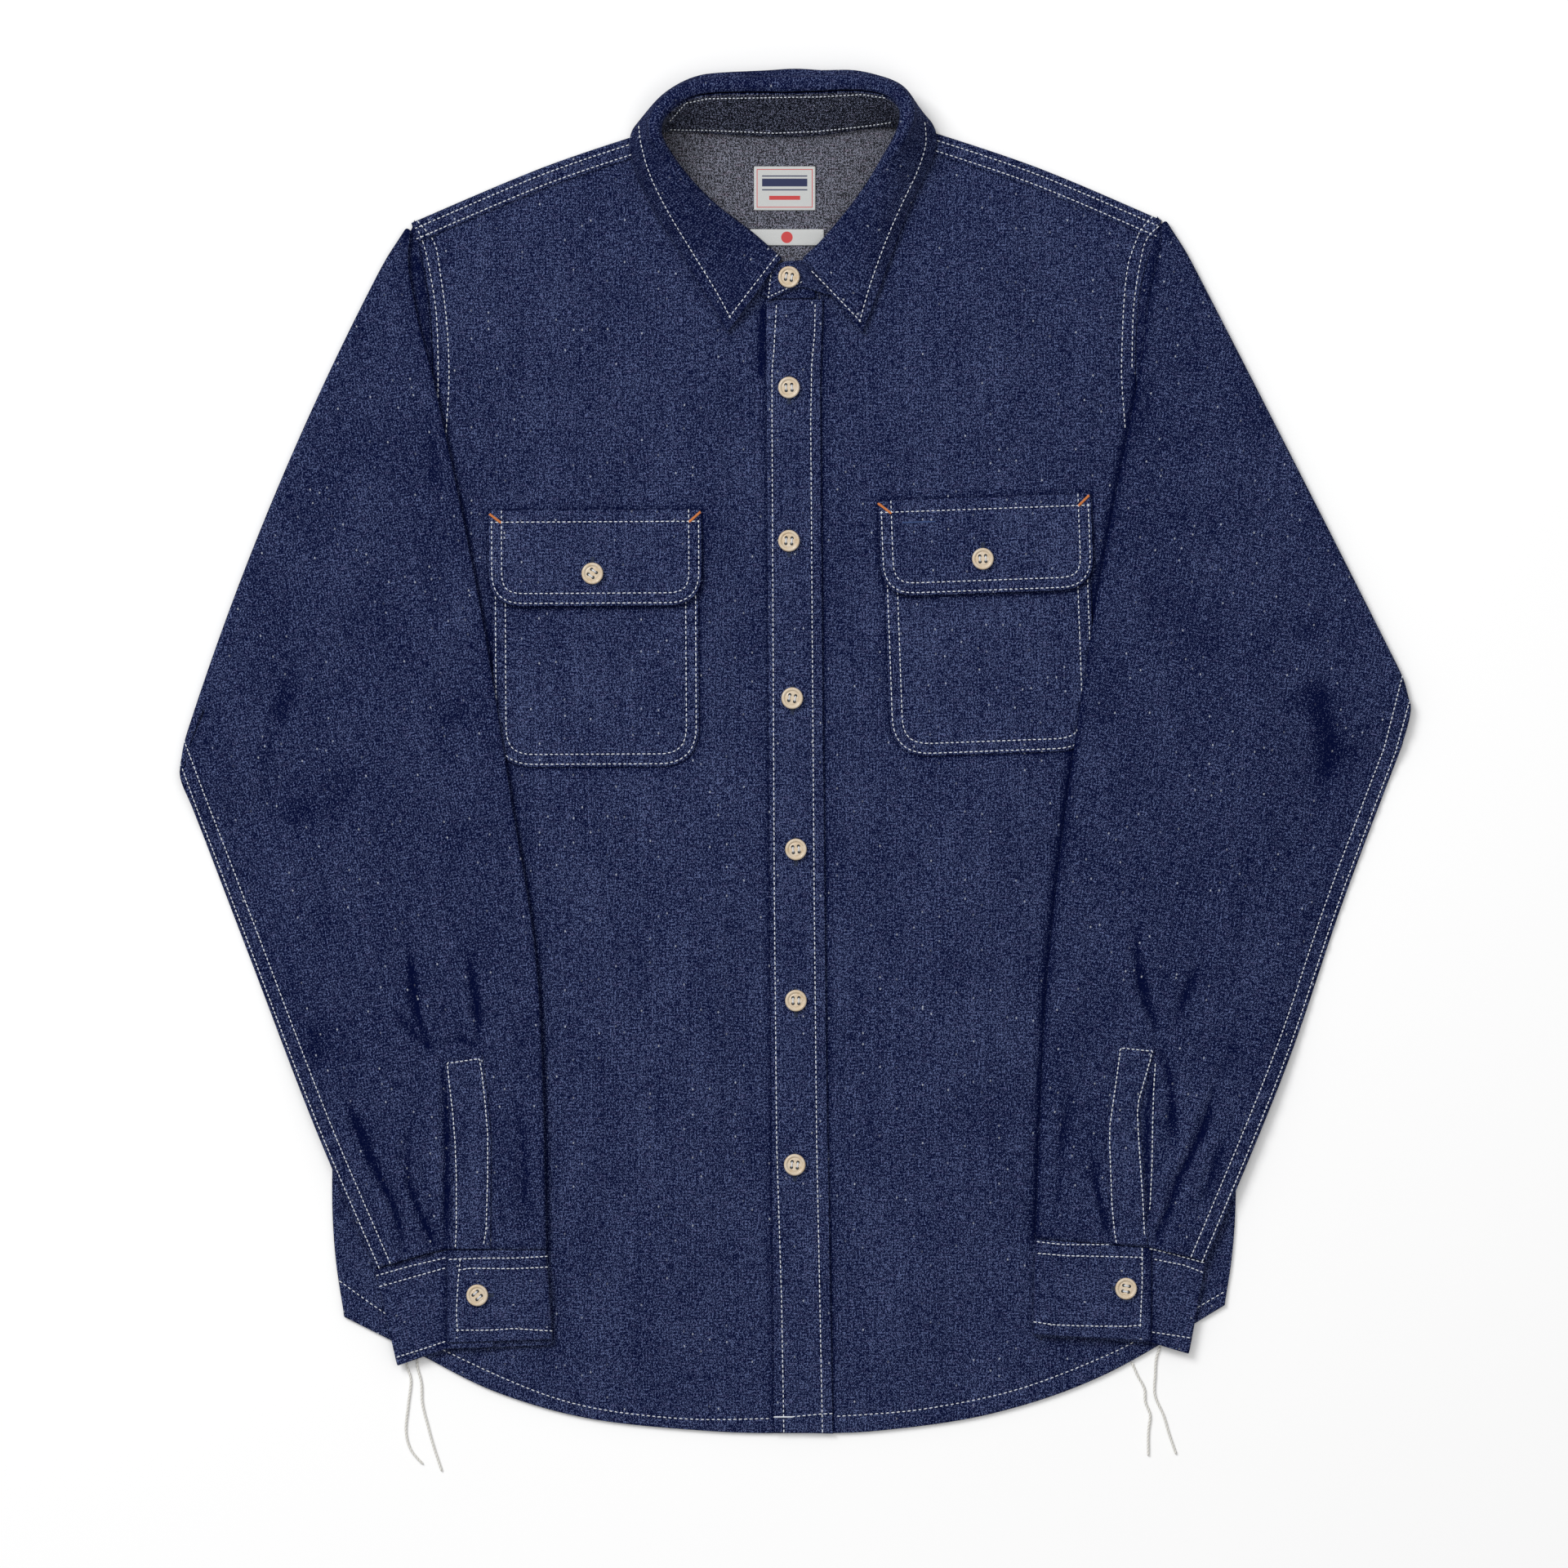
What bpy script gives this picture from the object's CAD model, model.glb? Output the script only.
"""A denim work shirt laid flat, face up, with its sleeves folded forward over the body.

Sizes in the tables are millimetres in the frame's own axes: +Y from the hem to the collar,
+Z up from the floor. Right and left are the wearer's, so the right side is at -X.
"""

import math

import bpy
import numpy as np
from bpy.props import FloatProperty, FloatVectorProperty, IntProperty, PointerProperty
from mathutils import Matrix, Vector
from mathutils.bvhtree import BVHTree
from mathutils.geometry import delaunay_2d_cdt


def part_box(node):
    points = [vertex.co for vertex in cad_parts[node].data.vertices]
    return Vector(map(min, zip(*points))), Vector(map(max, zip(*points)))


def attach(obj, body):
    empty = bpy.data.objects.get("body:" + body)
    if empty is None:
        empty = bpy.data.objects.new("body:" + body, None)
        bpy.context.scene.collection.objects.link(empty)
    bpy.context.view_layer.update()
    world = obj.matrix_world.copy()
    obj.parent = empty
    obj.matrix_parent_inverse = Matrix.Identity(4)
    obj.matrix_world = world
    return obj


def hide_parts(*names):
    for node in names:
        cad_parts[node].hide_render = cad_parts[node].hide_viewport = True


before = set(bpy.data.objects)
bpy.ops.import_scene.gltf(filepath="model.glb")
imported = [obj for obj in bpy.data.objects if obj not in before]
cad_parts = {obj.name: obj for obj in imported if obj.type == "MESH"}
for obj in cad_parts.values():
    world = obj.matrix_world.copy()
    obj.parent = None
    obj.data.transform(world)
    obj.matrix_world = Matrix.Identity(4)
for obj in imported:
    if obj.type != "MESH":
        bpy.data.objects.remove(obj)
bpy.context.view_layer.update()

bl_info = {
    "name": "Denim Work Shirt",
    "version": (1, 0, 0),
    "blender": (4, 5, 0),
    "location": "3D View > Sidebar > Shirt",
    "description": "Makes a folded denim work shirt with its stitching, buttons and labels",
    "category": "Object",
}

MM = 0.001

# Cloth, as in the frame
CLOTH = 1.0
SEAM_GAP = 0.3
LAYER = CLOTH + SEAM_GAP
FRONT_BOTTOM = LAYER
PATCH_BOTTOM = 2 * LAYER
PLACKET_THICKNESS = 1.5
STAND_THICKNESS = 1.8
LEAF_THICKNESS = 2.0
GAUNTLET_THICKNESS = 1.2
CUFF_WALL = 1.4

# Body
HEM = [
    (-265, -332), (-220, -354.5), (-175, -376.5), (-120, -392), (-50, -399.2),
    (0, -400.4), (50, -398.9), (117, -388.6), (182, -366), (252.5, -325.2),
]
LEFT_SIDE = [(252.5, -325.2), (259, -260), (257.5, -86), (255, 63)]
RIGHT_SIDE = [(-263.5, 38), (-266.6, -86), (-272, -260), (-265, -332)]
LEFT_ARMHOLE = [
    (255, 63), (227.3, 93.8), (205.7, 158.6), (200.4, 221), (203, 272), (215.5, 312.3),
]
RIGHT_ARMHOLE = [
    (-225.5, 310.7), (-216, 272), (-213.4, 215), (-221, 134.6), (-244.1, 62.6), (-263.5, 38),
]
LEFT_SHOULDER = [(215.5, 312.3), (142, 343.4), (70, 367.5)]
RIGHT_SHOULDER = [(-80.5, 366.2), (-148, 343.4), (-225.5, 310.7)]
BACK_NECK = [(66, 369.5), (39, 370.5), (-12, 365.8), (-50, 367.2), (-77, 367.2)]
FRONT_NECK = [
    (68, 365), (66, 348), (61, 323), (53, 301), (38, 283), (16, 271),
    (-8, 271.5), (-37, 283), (-61, 307), (-76, 340), (-79, 364),
]
SHOULDER_LAP = 12.2
SHOULDER_ROWS = (4.0, 10.0)
BACK_STEPS = (4.0, 9.0)
FRONT_SPLIT = 14

# Folds of the front: from, to, half width, height
FRONT_FOLDS = [
    ((-150, 330), (-120, 170), 38, 1.6),
    ((120, 330), (95, 195), 36, 1.5),
    ((-62, 236), (-54, 40), 34, 1.3),
    ((62, 215), (54, 60), 30, 1.2),
    ((-132, -40), (-100, -230), 45, 1.8),
    ((108, -30), (80, -210), 45, 1.7),
    ((-60, -110), (-78, -330), 38, 1.5),
    ((104, -250), (62, -345), 38, 1.5),
    ((192, 282), (178, 215), 28, 1.9),
    ((-196, 300), (-178, 245), 28, 1.5),
]
PLACKET_FLAT = (26, 50)
EDGE_FLAT = (8, 36)

# Finer creases: points, half width, height (below nought for a trough), ridge beside it
BODY_CREASES = [
    ([(-208, 298), (-200, 262), (-196, 220)], 7, 0.8, 0),
    ([(-196, 296), (-186, 250), (-184, 200)], 8, -0.5, 0),
    ([(203, 300), (200, 262), (196, 226)], 7, -0.9, 0),
    ([(188, 290), (182, 250), (176, 200)], 9, 0.8, 0),
    ([(-100, 300), (-96, 250), (-88, 200), (-86, 160)], 11, 0.7, 0),
    ([(86, 310), (84, 262), (78, 220), (76, 180)], 11, 0.6, 0),
    ([(-158, 40), (-150, -40), (-140, -130)], 12, -0.5, 0),
    ([(-48, -20), (-44, -120), (-50, -210), (-46, -300)], 10, 0.7, 0),
    ([(46, -10), (42, -110), (46, -220), (40, -320)], 10, 0.6, 0),
    ([(120, -120), (112, -200), (118, -290)], 11, 0.7, 0),
    ([(-118, -200), (-124, -280), (-120, -350)], 11, 0.7, 0),
    ([(-84, -60), (-80, -140), (-88, -250)], 8, -0.6, 0),
    ([(76, -60), (72, -150), (80, -240)], 8, -0.6, 0),
    ([(-200, -310), (-150, -340), (-90, -362)], 7, 0.5, 0),
    ([(100, -362), (150, -346), (206, -318)], 7, 0.5, 0),
]

PLACKET_EDGES = [
    (-17, 265.7), (-17, 216), (-15.6, 10), (-14.2, -182), (-12.2, -399.8),
    (22.3, -400.6), (18.5, -182), (16.6, 10), (14.9, 216), (16.5, 265.7),
]
GAP_UNDER_COLLAR = [(-18.6, 260), (-19.6, 240), (-20.6, 222)]
PLACKET_ROWS = [
    [(-11, 261.4), (-12.4, 236), (-13.5, 224), (-13.5, 194), (-12.2, -80), (-10.8, -230), (-7.9, -322),
     (-6.6, -399)],
    [(11.8, 262), (11.5, 245.5), (9.8, 227.3), (9.2, 194), (11.2, -80), (12.7, -230), (16.1, -399)],
]
HEM_ROW = [
    (-267, -311.5), (-240.2, -330.5), (-205.7, -352), (-137.5, -380.9), (-73.2, -391.4), (-12.7, -391.8),
    (43, -389.4), (82.3, -385.2), (131.3, -374.6), (180.2, -356), (209, -341.5), (236.9, -326.2), (251, -318),
]
BAND_HEM_ROW = [(-1, -390.6), (15.9, -389), (21, -388.8)]
HEM_BAR = [(-11.6, -390.8), (-2.2, -390.8)]
RIGHT_ARMHOLE_ROWS = [
    [(-221, 305), (-217.7, 296.4), (-214.3, 280.6), (-210.9, 258.5), (-209.8, 235), (-209.8, 209)],
    [(-221.2, 311), (-214.8, 303.6), (-211.1, 297.4), (-208.1, 278.9), (-204.7, 253.2), (-203.3, 225.8),
     (-203.8, 207.1), (-205.3, 185.2)],
]
LEFT_ARMHOLE_ROWS = [
    [(213, 308), (207.1, 302.2), (203.8, 292.3), (199, 261.8), (198, 226.8)],
    [(209.5, 313.8), (202.8, 306), (199, 296.2), (195.5, 285.4), (193.1, 261.8), (191.8, 226.8), (192.2, 213.5),
     (193.9, 191.3)],
]

# Chest pockets, hung from the centre of each flap's top edge
POCKET = dict(width=121, top=-44, bottom=-151, corner=24)
FLAP = dict(width=125, top=0, bottom=-56.5, corner=20)
FLAP_LIFT = dict(start=2, clear=20, clearance=LAYER + 0.1, end=57, rise=2.2)
CHEST_SETS = {"right": (-117.5, 142, 0.3), "left": (111.2, 149.6, 2.1)}
EDGE_ROW = 1.7
SECOND_ROW = 7.5
FLAP_TOP_ROW = 7.0
BARTACKS = {
    "right": [((-63, -1.4), (-55.4, -7.2)), ((55.4, -7.2), (61.8, -1.6))],
    "left": [((-62.4, -1.6), (-55.2, -7.6)), ((55, -7.2), (61.4, -1.4))],
}
PENCIL_SLOT = ((-48.5, -13.4), (-29.5, -13.4))
POCKET_STEP = 3.2

# Collar: foot of the stand, roll, half the turn of the roll, belly of the leaf, outer edge
FOLD_BACK = 2.3
COLLAR = [
    ((12, 266.5, 3.5), (10.5, 294, 3.5), 2.2, None, None),
    ((-8, 266, 3.5), (0, 292.5, 3.5), 2.2, None, None),
    ((-24, 270, 3.5), (-7.4, 289.7, 3.5), 2.2, (-24.5, 266.5, 7.8), (-39.6, 246, 5)),
    ((-44, 287, 3.5), (-26.6, 306.5, 3.6), 2.2, (-38.5, 287.5, 8.4), (-50.5, 265, 4.4)),
    ((-61, 303, 3.6), (-44.6, 320.4, 8), 1.8, (-57, 303, 11.4), (-67, 292, 4.2)),
    ((-75, 322, 3.8), (-60.2, 335.9, 16), 2, (-73, 323, 15.5), (-82, 317, 4.2)),
    ((-82, 341, 4.2), (-71.8, 351.3, 23), 2.6, (-84.5, 343, 17.5), (-92.5, 338, 4.4)),
    ((-83, 354, 5), (-78, 363, 29), 3.2, (-88.5, 359, 18.5), (-96, 353, 5.2)),
    ((-78, 363.5, 5), (-75.5, 374, 31), 3.8, (-85.5, 375, 18), (-93.5, 366.5, 5.6)),
    ((-66, 364.5, 3), (-65, 384.5, 31), 4.4, (-72.5, 387, 14), (-70, 379, 1.8)),
    ((-50, 363.5, 2.7), (-51, 389.5, 31), 5, (-54, 395.5, 12), (-52, 386, 1.4)),
    ((-30, 362.2, 2.7), (-29, 390.5, 31), 5, (-31, 397.5, 11), (-30, 386, 1.4)),
    ((-8, 361.5, 2.7), (-6, 390.5, 31), 5, (-6, 399, 11), (-6, 385.5, 1.4)),
    ((14, 362.2, 2.7), (15, 391, 31), 5, (16, 398.6, 11), (14, 386, 1.4)),
    ((34, 365, 2.7), (36, 391.5, 31), 5, (38, 397.4, 12), (34, 387, 1.4)),
    ((54, 367, 3), (54, 387, 31), 4.4, (60, 390, 14), (58, 381, 1.8)),
    ((66, 364, 5), (61, 377, 31), 3.8, (71.5, 377, 18), (79, 370, 5.6)),
    ((70, 352, 5), (58.5, 364, 29), 3.2, (72, 358.5, 18.5), (82.5, 356, 5.2)),
    ((67, 336, 4.2), (50, 348.5, 22), 2.6, (65, 341, 16.5), (77.5, 341, 4.4)),
    ((60, 316, 3.8), (38.5, 329.5, 15), 2, (53.5, 320, 14.5), (68.4, 323, 4.2)),
    ((50, 298, 3.8), (26, 313, 9.5), 1.8, (43, 299, 11.6), (59.5, 300, 4.2)),
    ((38, 281, 4.4), (14, 299, 6.8), 1.6, (33, 278, 10), (50, 273, 4.4)),
    ((22, 268, 5.6), (4.1, 289.7, 5.6), 1.6, (22, 267, 9.6), (39.6, 245.2, 5)),
    ((4, 263.6, 5.6), (-4, 292.5, 5.6), 2.2, None, None),
    ((-16.5, 263.4, 5.6), (-15, 290, 5.6), 2.2, None, None),
]
LEAF_ROWS = [
    [(-91.5, 366), (-90, 355), (-85, 338), (-75, 317.5), (-61.5, 295), (-46.5, 270.5), (-38.3, 255.4)],
    [(-38.3, 255.4), (-24, 274), (-10.8, 291)],
    [(76, 368), (76.5, 356), (71.5, 340), (62.5, 321), (53.4, 300), (44.2, 274.5), (38, 253)],
    [(38, 253), (21, 270.5), (4.6, 287.4)],
]
STAND_ROWS = [
    [(-73, 370), (-64.1, 379.5), (-51.1, 382.2), (13.2, 383.2), (39, 384.6), (52, 382.6)],
    [(-72.8, 365.2), (-51.1, 364.9), (-12.5, 363.2), (13.2, 364.2), (39, 367), (55.5, 369.2)],
]
TAB_ROWS = [[(-15.6, 267), (-13.8, 284)], [(-15.6, 267), (3.4, 275.6)]]
STAND_FRONT_FEET = ((3.5, 272.6, 5.6), (-16.5, 263.9, 5.6))

# Sleeves, folded back along the line from the shoulder point to the elbow corner
TUBE_HALF = 1.5
CUFF_END_HALF = 2.2
FOLD_RADIUS = 2.0
SLEEVE_ON_BODY = 4.0
SLEEVE_DROP = (15, 55)
ARMHOLE_POINTS = 64
SLEEVE_RUN = 700
SLEEVE_ACROSS = 78
SLEEVE_EDGE_STEPS = np.array([12.2, 11, 10.2, 9.4, 8.6, 7.8, 6.4, 5, 3.9, 3.1, 2.3])
UNDERARM_ROWS = (2.3, 9.4)
SLEEVES = {
    "right": dict(
        outward=-1,
        shoulder=(-233, 303.6),
        elbow=(-362.2, -4.6),
        bulge=8,
        inner=[(-222, 257), (-210, 209), (-185.5, 89.5), (-166.3, -29), (-150.5, -137), (-145.7, -292.4)],
        outer=[
            (-361.4, -11), (-360.2, -18.5), (-355.8, -28.8), (-351.1, -40.6), (-319, -124.6), (-282, -220.6),
            (-246.5, -303.4),
        ],
        lap=59,
        cuff_bottom=[(-142, -345), (-204.7, -347), (-233.5, -357)],
        slip=3.6,
        row_starts=[(-361.4, -5.4), (-358.4, 5.8)],
        end_line=[(0, 0), (0.5, 5.6), (0.585, 6.6), (0.66, 6.0), (1, 0)],
        gauntlet=[
            (-206, -181.6), (-204, -205), (-202, -230), (-201.2, -250), (-200.8, -292), (-178.8, -292),
            (-178.4, -245), (-178.4, -225), (-180.2, -205), (-182.4, -188), (-183.6, -178.2),
        ],
        gauntlet_row=[
            (-199.4, -290), (-198.8, -280), (-198.8, -249), (-199.5, -229.7), (-200.9, -212), (-202.5, -198.4),
            (-204.2, -183), (-185.4, -180.2), (-183.8, -188.8), (-182, -205.2), (-180.4, -224.3), (-180.4, -249),
            (-181, -269.3), (-181.4, -281.5), (-182.6, -288),
        ],
        pleats=[(0.72, 0.12, 0.72, 1.4), (0.88, 0.1, 0.86, 1)],
        grain=11,
        creases=[
            ([(-227, -116), (-223.6, -140), (-221, -155.8), (-215, -169), (-208, -181)], 4.6, -1.4, -1.0),
            ([(-238, -148), (-231.6, -157.7), (-222, -167.5), (-213.5, -176)], 3.8, -1.2, 1.0),
            ([(-192, -118), (-188.5, -140), (-186.5, -154.3), (-186, -171)], 4.0, -1.1, 0.8),
            ([(-209, -176.5), (-203, -170.8), (-197.5, -169), (-191, -170.5), (-186, -175.5)], 3.6, -1.1, 0),
            ([(-207.4, -181), (-205.6, -208), (-204.6, -249), (-205.6, -292)], 3.4, -1.3, 1.6),
            ([(-266, -196), (-260.9, -210.6), (-248.6, -240.8), (-237.7, -262.5), (-231.6, -281), (-228, -296)],
             4.4, -1.4, 1.5),
            ([(-224.6, -216), (-228.2, -236), (-226, -256), (-219.4, -274), (-214, -290)], 3.8, -1.2, 1.0),
            ([(-219, -274), (-214, -284), (-210.5, -293)], 2.6, -0.9, 0.9),
            ([(-173, -262), (-170, -276), (-168, -290)], 4, -0.6, -0.7),
            ([(-190, 120), (-214, 40), (-232, -40)], 15, 0.9, 0),
            ([(-232, 190), (-262, 110), (-284, 40)], 18, 1.0, 0),
            ([(-292, 60), (-310, 0), (-306, -60)], 15, -0.6, 0),
            ([(-252, -30), (-258, -90), (-250, -150)], 13, 0.9, 0),
            ([(-176, -60), (-172, -120), (-166, -180)], 8, 0.7, 0),
            ([(-168, -190), (-160, -230), (-158, -280)], 6, -0.7, 0.5),
            ([(-320, -20), (-300, -70), (-282, -130)], 11, 0.8, 0),
            ([(-222, 240), (-212, 190), (-200, 140)], 9, -0.7, 0),
        ],
    ),
    "left": dict(
        outward=1,
        shoulder=(222.5, 307.9),
        elbow=(362.2, 33.8),
        bulge=0.5,
        inner=[(209, 272), (200.9, 216.7), (180, 107), (162.5, -6), (147.8, -134.2), (140.9, -285.8)],
        outer=[
            (361.6, 27), (360.6, 18.5), (357.4, 7), (353.5, -4.6), (321.8, -88.6), (288.7, -184.6), (241.4, -299.4),
        ],
        row_starts=[(361.2, 31.4), (356.4, 43.8)],
        lap=69,
        cuff_bottom=[(139.4, -342), (209, -346), (231.1, -352.6)],
        slip=1,
        end_line=[(0, 0), (0.58, 3.3), (0.65, 3.8), (0.72, 3.3), (1, 0)],
        gauntlet=[
            (189.2, -172.2), (187.2, -190), (184.9, -206.5), (183.1, -218.8), (182.9, -229.7), (183.5, -246),
            (184.2, -265.2), (186.6, -289), (206.8, -289.6), (205.5, -262.5), (204.2, -243.4), (203.1, -227),
            (202.4, -211.9), (203.3, -205.2), (206.5, -192.9), (211, -174.6),
        ],
        gauntlet_row=[
            (188.4, -287.4), (187.5, -282.3), (185.9, -265.2), (185.2, -246), (184.6, -229.7), (184.8, -218.8),
            (186.6, -206.5), (188.9, -190.2), (191.1, -173.9), (209.4, -175.8), (208.4, -181.3), (205, -192.9),
            (201.6, -205.2), (200.9, -211.9), (201.6, -227), (202.7, -243.4), (204, -262.5), (205, -282.3),
        ],
        pleats=[(0.8, 0.12, 0.78, 1.4), (0.56, 0.1, 0.62, 1.1)],
        grain=-11,
        creases=[
            ([(199.6, -104), (201.6, -124), (204.8, -143.3), (211.8, -159.6), (215.4, -174.6)], 4.8, -1.5, 1.1),
            ([(214.6, -172), (218.6, -184), (221.8, -204.1), (221.4, -224)], 4.2, -1.2, -0.8),
            ([(238, -122), (228, -146), (220.6, -168)], 5, -0.8, 0.6),
            ([(212.6, -182), (209.4, -196), (206.6, -212), (206.6, -240), (207.4, -262), (208.2, -284)],
             2.4, -1.0, 0),
            ([(250, -186), (246.6, -198.4), (241, -217), (233.7, -235.2), (226.8, -247.4), (221.4, -262.5),
              (214.6, -288)], 4.6, -1.5, 1.6),
            ([(255.5, -218.8), (248.7, -235.2), (243.2, -251.6), (238, -273)], 5, -0.7, 0.8),
            ([(174.8, -234), (176.8, -252.7), (180, -267), (184.6, -284)], 3.6, -1.1, -0.9),
            ([(219, -268), (214, -278), (211, -290)], 2.6, -0.8, 0.8),
            ([(186, 130), (214, 40), (232, -40)], 15, 0.9, 0),
            ([(232, 190), (262, 120), (286, 50)], 18, 1.0, 0),
            ([(296, 70), (312, 10), (306, -60)], 14, -0.6, 0),
            ([(250, -20), (256, -80), (248, -140)], 13, 0.9, 0),
            ([(172, -60), (166, -120), (162, -180)], 8, 0.7, 0),
            ([(164, -190), (156, -236), (154, -276)], 6, -0.7, 0.5),
            ([(322, -10), (304, -70), (284, -130)], 11, 0.8, 0),
            ([(212, 240), (202, 190), (190, 140)], 9, -0.7, 0),
        ],
    ),
}
CUFF_LEVEL = CUFF_WALL + SEAM_GAP
CUFF_TUCK = 26
CUFF_ROWS = {
    "right": [
        [(-202.2, -298), (-183.1, -297.3), (-165.4, -297.3), (-144.9, -296.2)],
        [(-196.8, -304.1), (-189.9, -303.2), (-165.4, -303.5), (-144.7, -302.5)],
        [(-196.6, -298.6), (-197.9, -312.2), (-198.8, -330), (-198.1, -339.6)],
        [(-198.1, -339.6), (-179, -339.6), (-165.4, -338.6), (-143.4, -340)],
        [(-245, -307.4), (-226.8, -302.2), (-206.3, -297.4)], [(-243.2, -313.9), (-222.7, -308), (-206.3, -303.4)],
        [(-232.9, -355.2), (-221.3, -351.6), (-206.3, -346.6)],
    ],
    "left": [
        [(142.9, -287.7), (157.3, -289.3), (180.5, -289.4), (200.9, -290), (207.1, -291)],
        [(143.4, -294.5), (160, -295.9), (180.5, -296.2), (203, -296.8)],
        [(203.7, -290.8), (203.7, -312.2), (202.6, -336.7)],
        [(140.9, -334.8), (153.2, -336.5), (173.7, -337.1), (194.1, -337.3), (202.3, -336.7)],
        [(209, -292), (221.4, -295), (239.1, -299.8)], [(211.8, -298.2), (228.2, -301.4), (238.6, -305.4)],
        [(210.5, -340.9), (220, -342.3), (230.9, -344)],
    ],
}
CUFF_LAPS = {"right": [(-205.4, -292), (-205.4, -349)], "left": [(207.4, -288), (209.6, -346)]}
BINDING_ROW = [(211.4, -184.1), (210.4, -201.1), (209.8, -221.5), (209.5, -242), (208.6, -262.5), (208.2, -268)]

# Buttons
BUTTON_PROFILE = [
    (0, 0), (4.9, 0), (5.5, 0.12), (6.1, 0.55), (6.35, 1.1), (6.35, 1.8), (6.2, 2.35), (5.85, 2.7), (5.35, 2.8),
    (4.85, 2.68), (4.5, 2.34), (4.32, 2.08), (4.1, 2.0), (3.85, 2.06), (3.6, 2.2), (3.3, 2.24), (2.2, 2.1),
    (1.1, 2.02), (0, 2.0),
]
BUTTON_HOLES = 1.72
DRILL_PROFILE = [(0.94, 0.5), (1.06, 4.0)]
FRONT_BUTTONS = [
    (-3.6, 213.8), (-3.6, 123.8), (-1.7, 31.4), (0.5, -57.4), (0.5, -146.2), (-0.2, -242.6),
]

# Labels inside the back neck: centre, width and height
LABELS = {"label_upper": ((-6.1, 331), (36.2, 25.9)), "label_lower": ((-4.8, 302.2), (43.6, 9.6))}

# Loose thread ends below the hem, from the hem outwards
THREAD_DIAMETER = 1.5
LOOSE_WARMTH = (1.0, 0.93, 0.80)
THREADS = [
    [(-228.1, -351), (-228.3, -360), (-225.8, -369.4), (-227.3, -383.8), (-228.7, -399.1), (-225.8, -410.2),
     (-218.6, -418.8)],
    [(-221.6, -354.2), (-222, -361), (-219.6, -371), (-219, -383), (-215.8, -396), (-212.5, -408), (-207.5, -423)],
    [(197.8, -358.7), (200.9, -366), (205.2, -374.2), (205.8, -382), (208.6, -390), (207.6, -400), (207.6, -414)],
    [(214.6, -349.6), (212.2, -357), (211.6, -366), (211.4, -378), (216.5, -390), (219.8, -401), (224, -413)],
]

# Camera: the middle of the frame, its width, and its height above the floor
FRAME_CENTRE = (-6.5, -19.0)
FRAME_WIDTH = 921.6
CAMERA_HEIGHT = 6000.0
SENSOR = 36.0

# Floor and lights in metres: half width and level, places and widths
FLOOR_HALF = 9.0
FLOOR_LEVEL = -0.0002
LIGHTS = {"key": ((-2.7, 2.8, 4.2), 2.4), "top": ((0.2, 0.3, 3.0), 2.6)}


def length(name, description, default, least=0.0):
    return FloatProperty(name=name, description=description, default=default * MM, min=least * MM, unit="LENGTH")


def colour(name, description, default):
    return FloatVectorProperty(name=name, description=description, default=default, subtype="COLOR", size=3)


def power(name, description, default):
    return FloatProperty(name=name, description=description, default=default, min=0, unit="POWER")


class ShirtSizes(bpy.types.PropertyGroup):
    """Sizes of the cloth and the sewing."""

    mesh_step: length("Cloth Mesh Step", "Distance between the points of a cloth mesh", 3.6, 2)
    crease: FloatProperty(
        name="Crease Depth", description="Share of the full depth of the finer creases",
        default=1.0, min=0, max=2, subtype="FACTOR",
    )
    pucker: length("Seam Pucker", "Height of the puckers along the sewn rows", 0.5)
    stitch_length: length("Stitch Length", "Length of one stitch on the face", 2.15, 0.5)
    stitch_width: length("Thread Width", "Width of the topstitching thread", 0.70, 0.2)
    seed: IntProperty(name="Seed", description="Start of the stitches' small irregularities", default=7, min=0)


class ShirtColours(bpy.types.PropertyGroup):
    """Colours of the cloth, thread, buttons and labels."""

    indigo: colour("Indigo Warp", "Dyed warp of the denim", (0.0006, 0.0024, 0.0240))
    weft: colour("Pale Weft", "Undyed weft that shows between the warps", (0.091, 0.118, 0.238))
    inside: colour("Inner Face", "Pale inner face of the denim", (0.205, 0.212, 0.268))
    stitch: colour("Stitching", "Ecru topstitching thread", (0.72, 0.76, 0.83))
    tack: colour("Bartack", "Orange thread of the bartacks", (0.62, 0.20, 0.05))
    slot: colour("Pencil Slot", "Blue thread of the slot in the flap", (0.03, 0.07, 0.22))
    buttonhole: colour("Buttonhole", "Dark thread of the buttonholes", (0.010, 0.022, 0.060))
    button: colour("Button", "Cream of the buttons", (0.56, 0.47, 0.36))
    label: colour("Label", "Off-white of the woven labels", (0.52, 0.53, 0.53))


class ShirtStage(bpy.types.PropertyGroup):
    """Floor, lights and camera."""

    floor: colour("Floor", "Pale floor", (0.92, 0.92, 0.92))
    key_power: power("Key Light", "Power of the light from the upper left", 205.0)
    top_power: power("Top Light", "Power of the light overhead", 26.0)
    sky: FloatProperty(
        name="Room Light", description="Strength of the light from all round", default=0.46, min=0,
    )


# Plane curves and distances, in millimetres


def spline_points(points, shares):
    """Points of a smooth curve through the given points, at shares of its spans."""
    p = np.asarray(points, float)
    place = np.asarray(shares, float) * (len(p) - 1)
    span = np.clip(np.floor(place).astype(int), 0, len(p) - 2)
    w = (place - span)[:, None]
    p0, p1 = p[np.maximum(span - 1, 0)], p[span]
    p2, p3 = p[span + 1], p[np.minimum(span + 2, len(p) - 1)]
    v0, v1 = (p2 - p0) / 2, (p3 - p1) / 2
    cubic = 2 * p1 - 2 * p2 + v0 + v1
    square = -3 * p1 + 3 * p2 - 2 * v0 - v1
    return cubic * w**3 + square * w**2 + v0 * w + p1


def run_lengths(points):
    steps = np.linalg.norm(np.diff(points, axis=0), axis=1)
    return np.concatenate([[0], np.cumsum(steps)])


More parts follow.
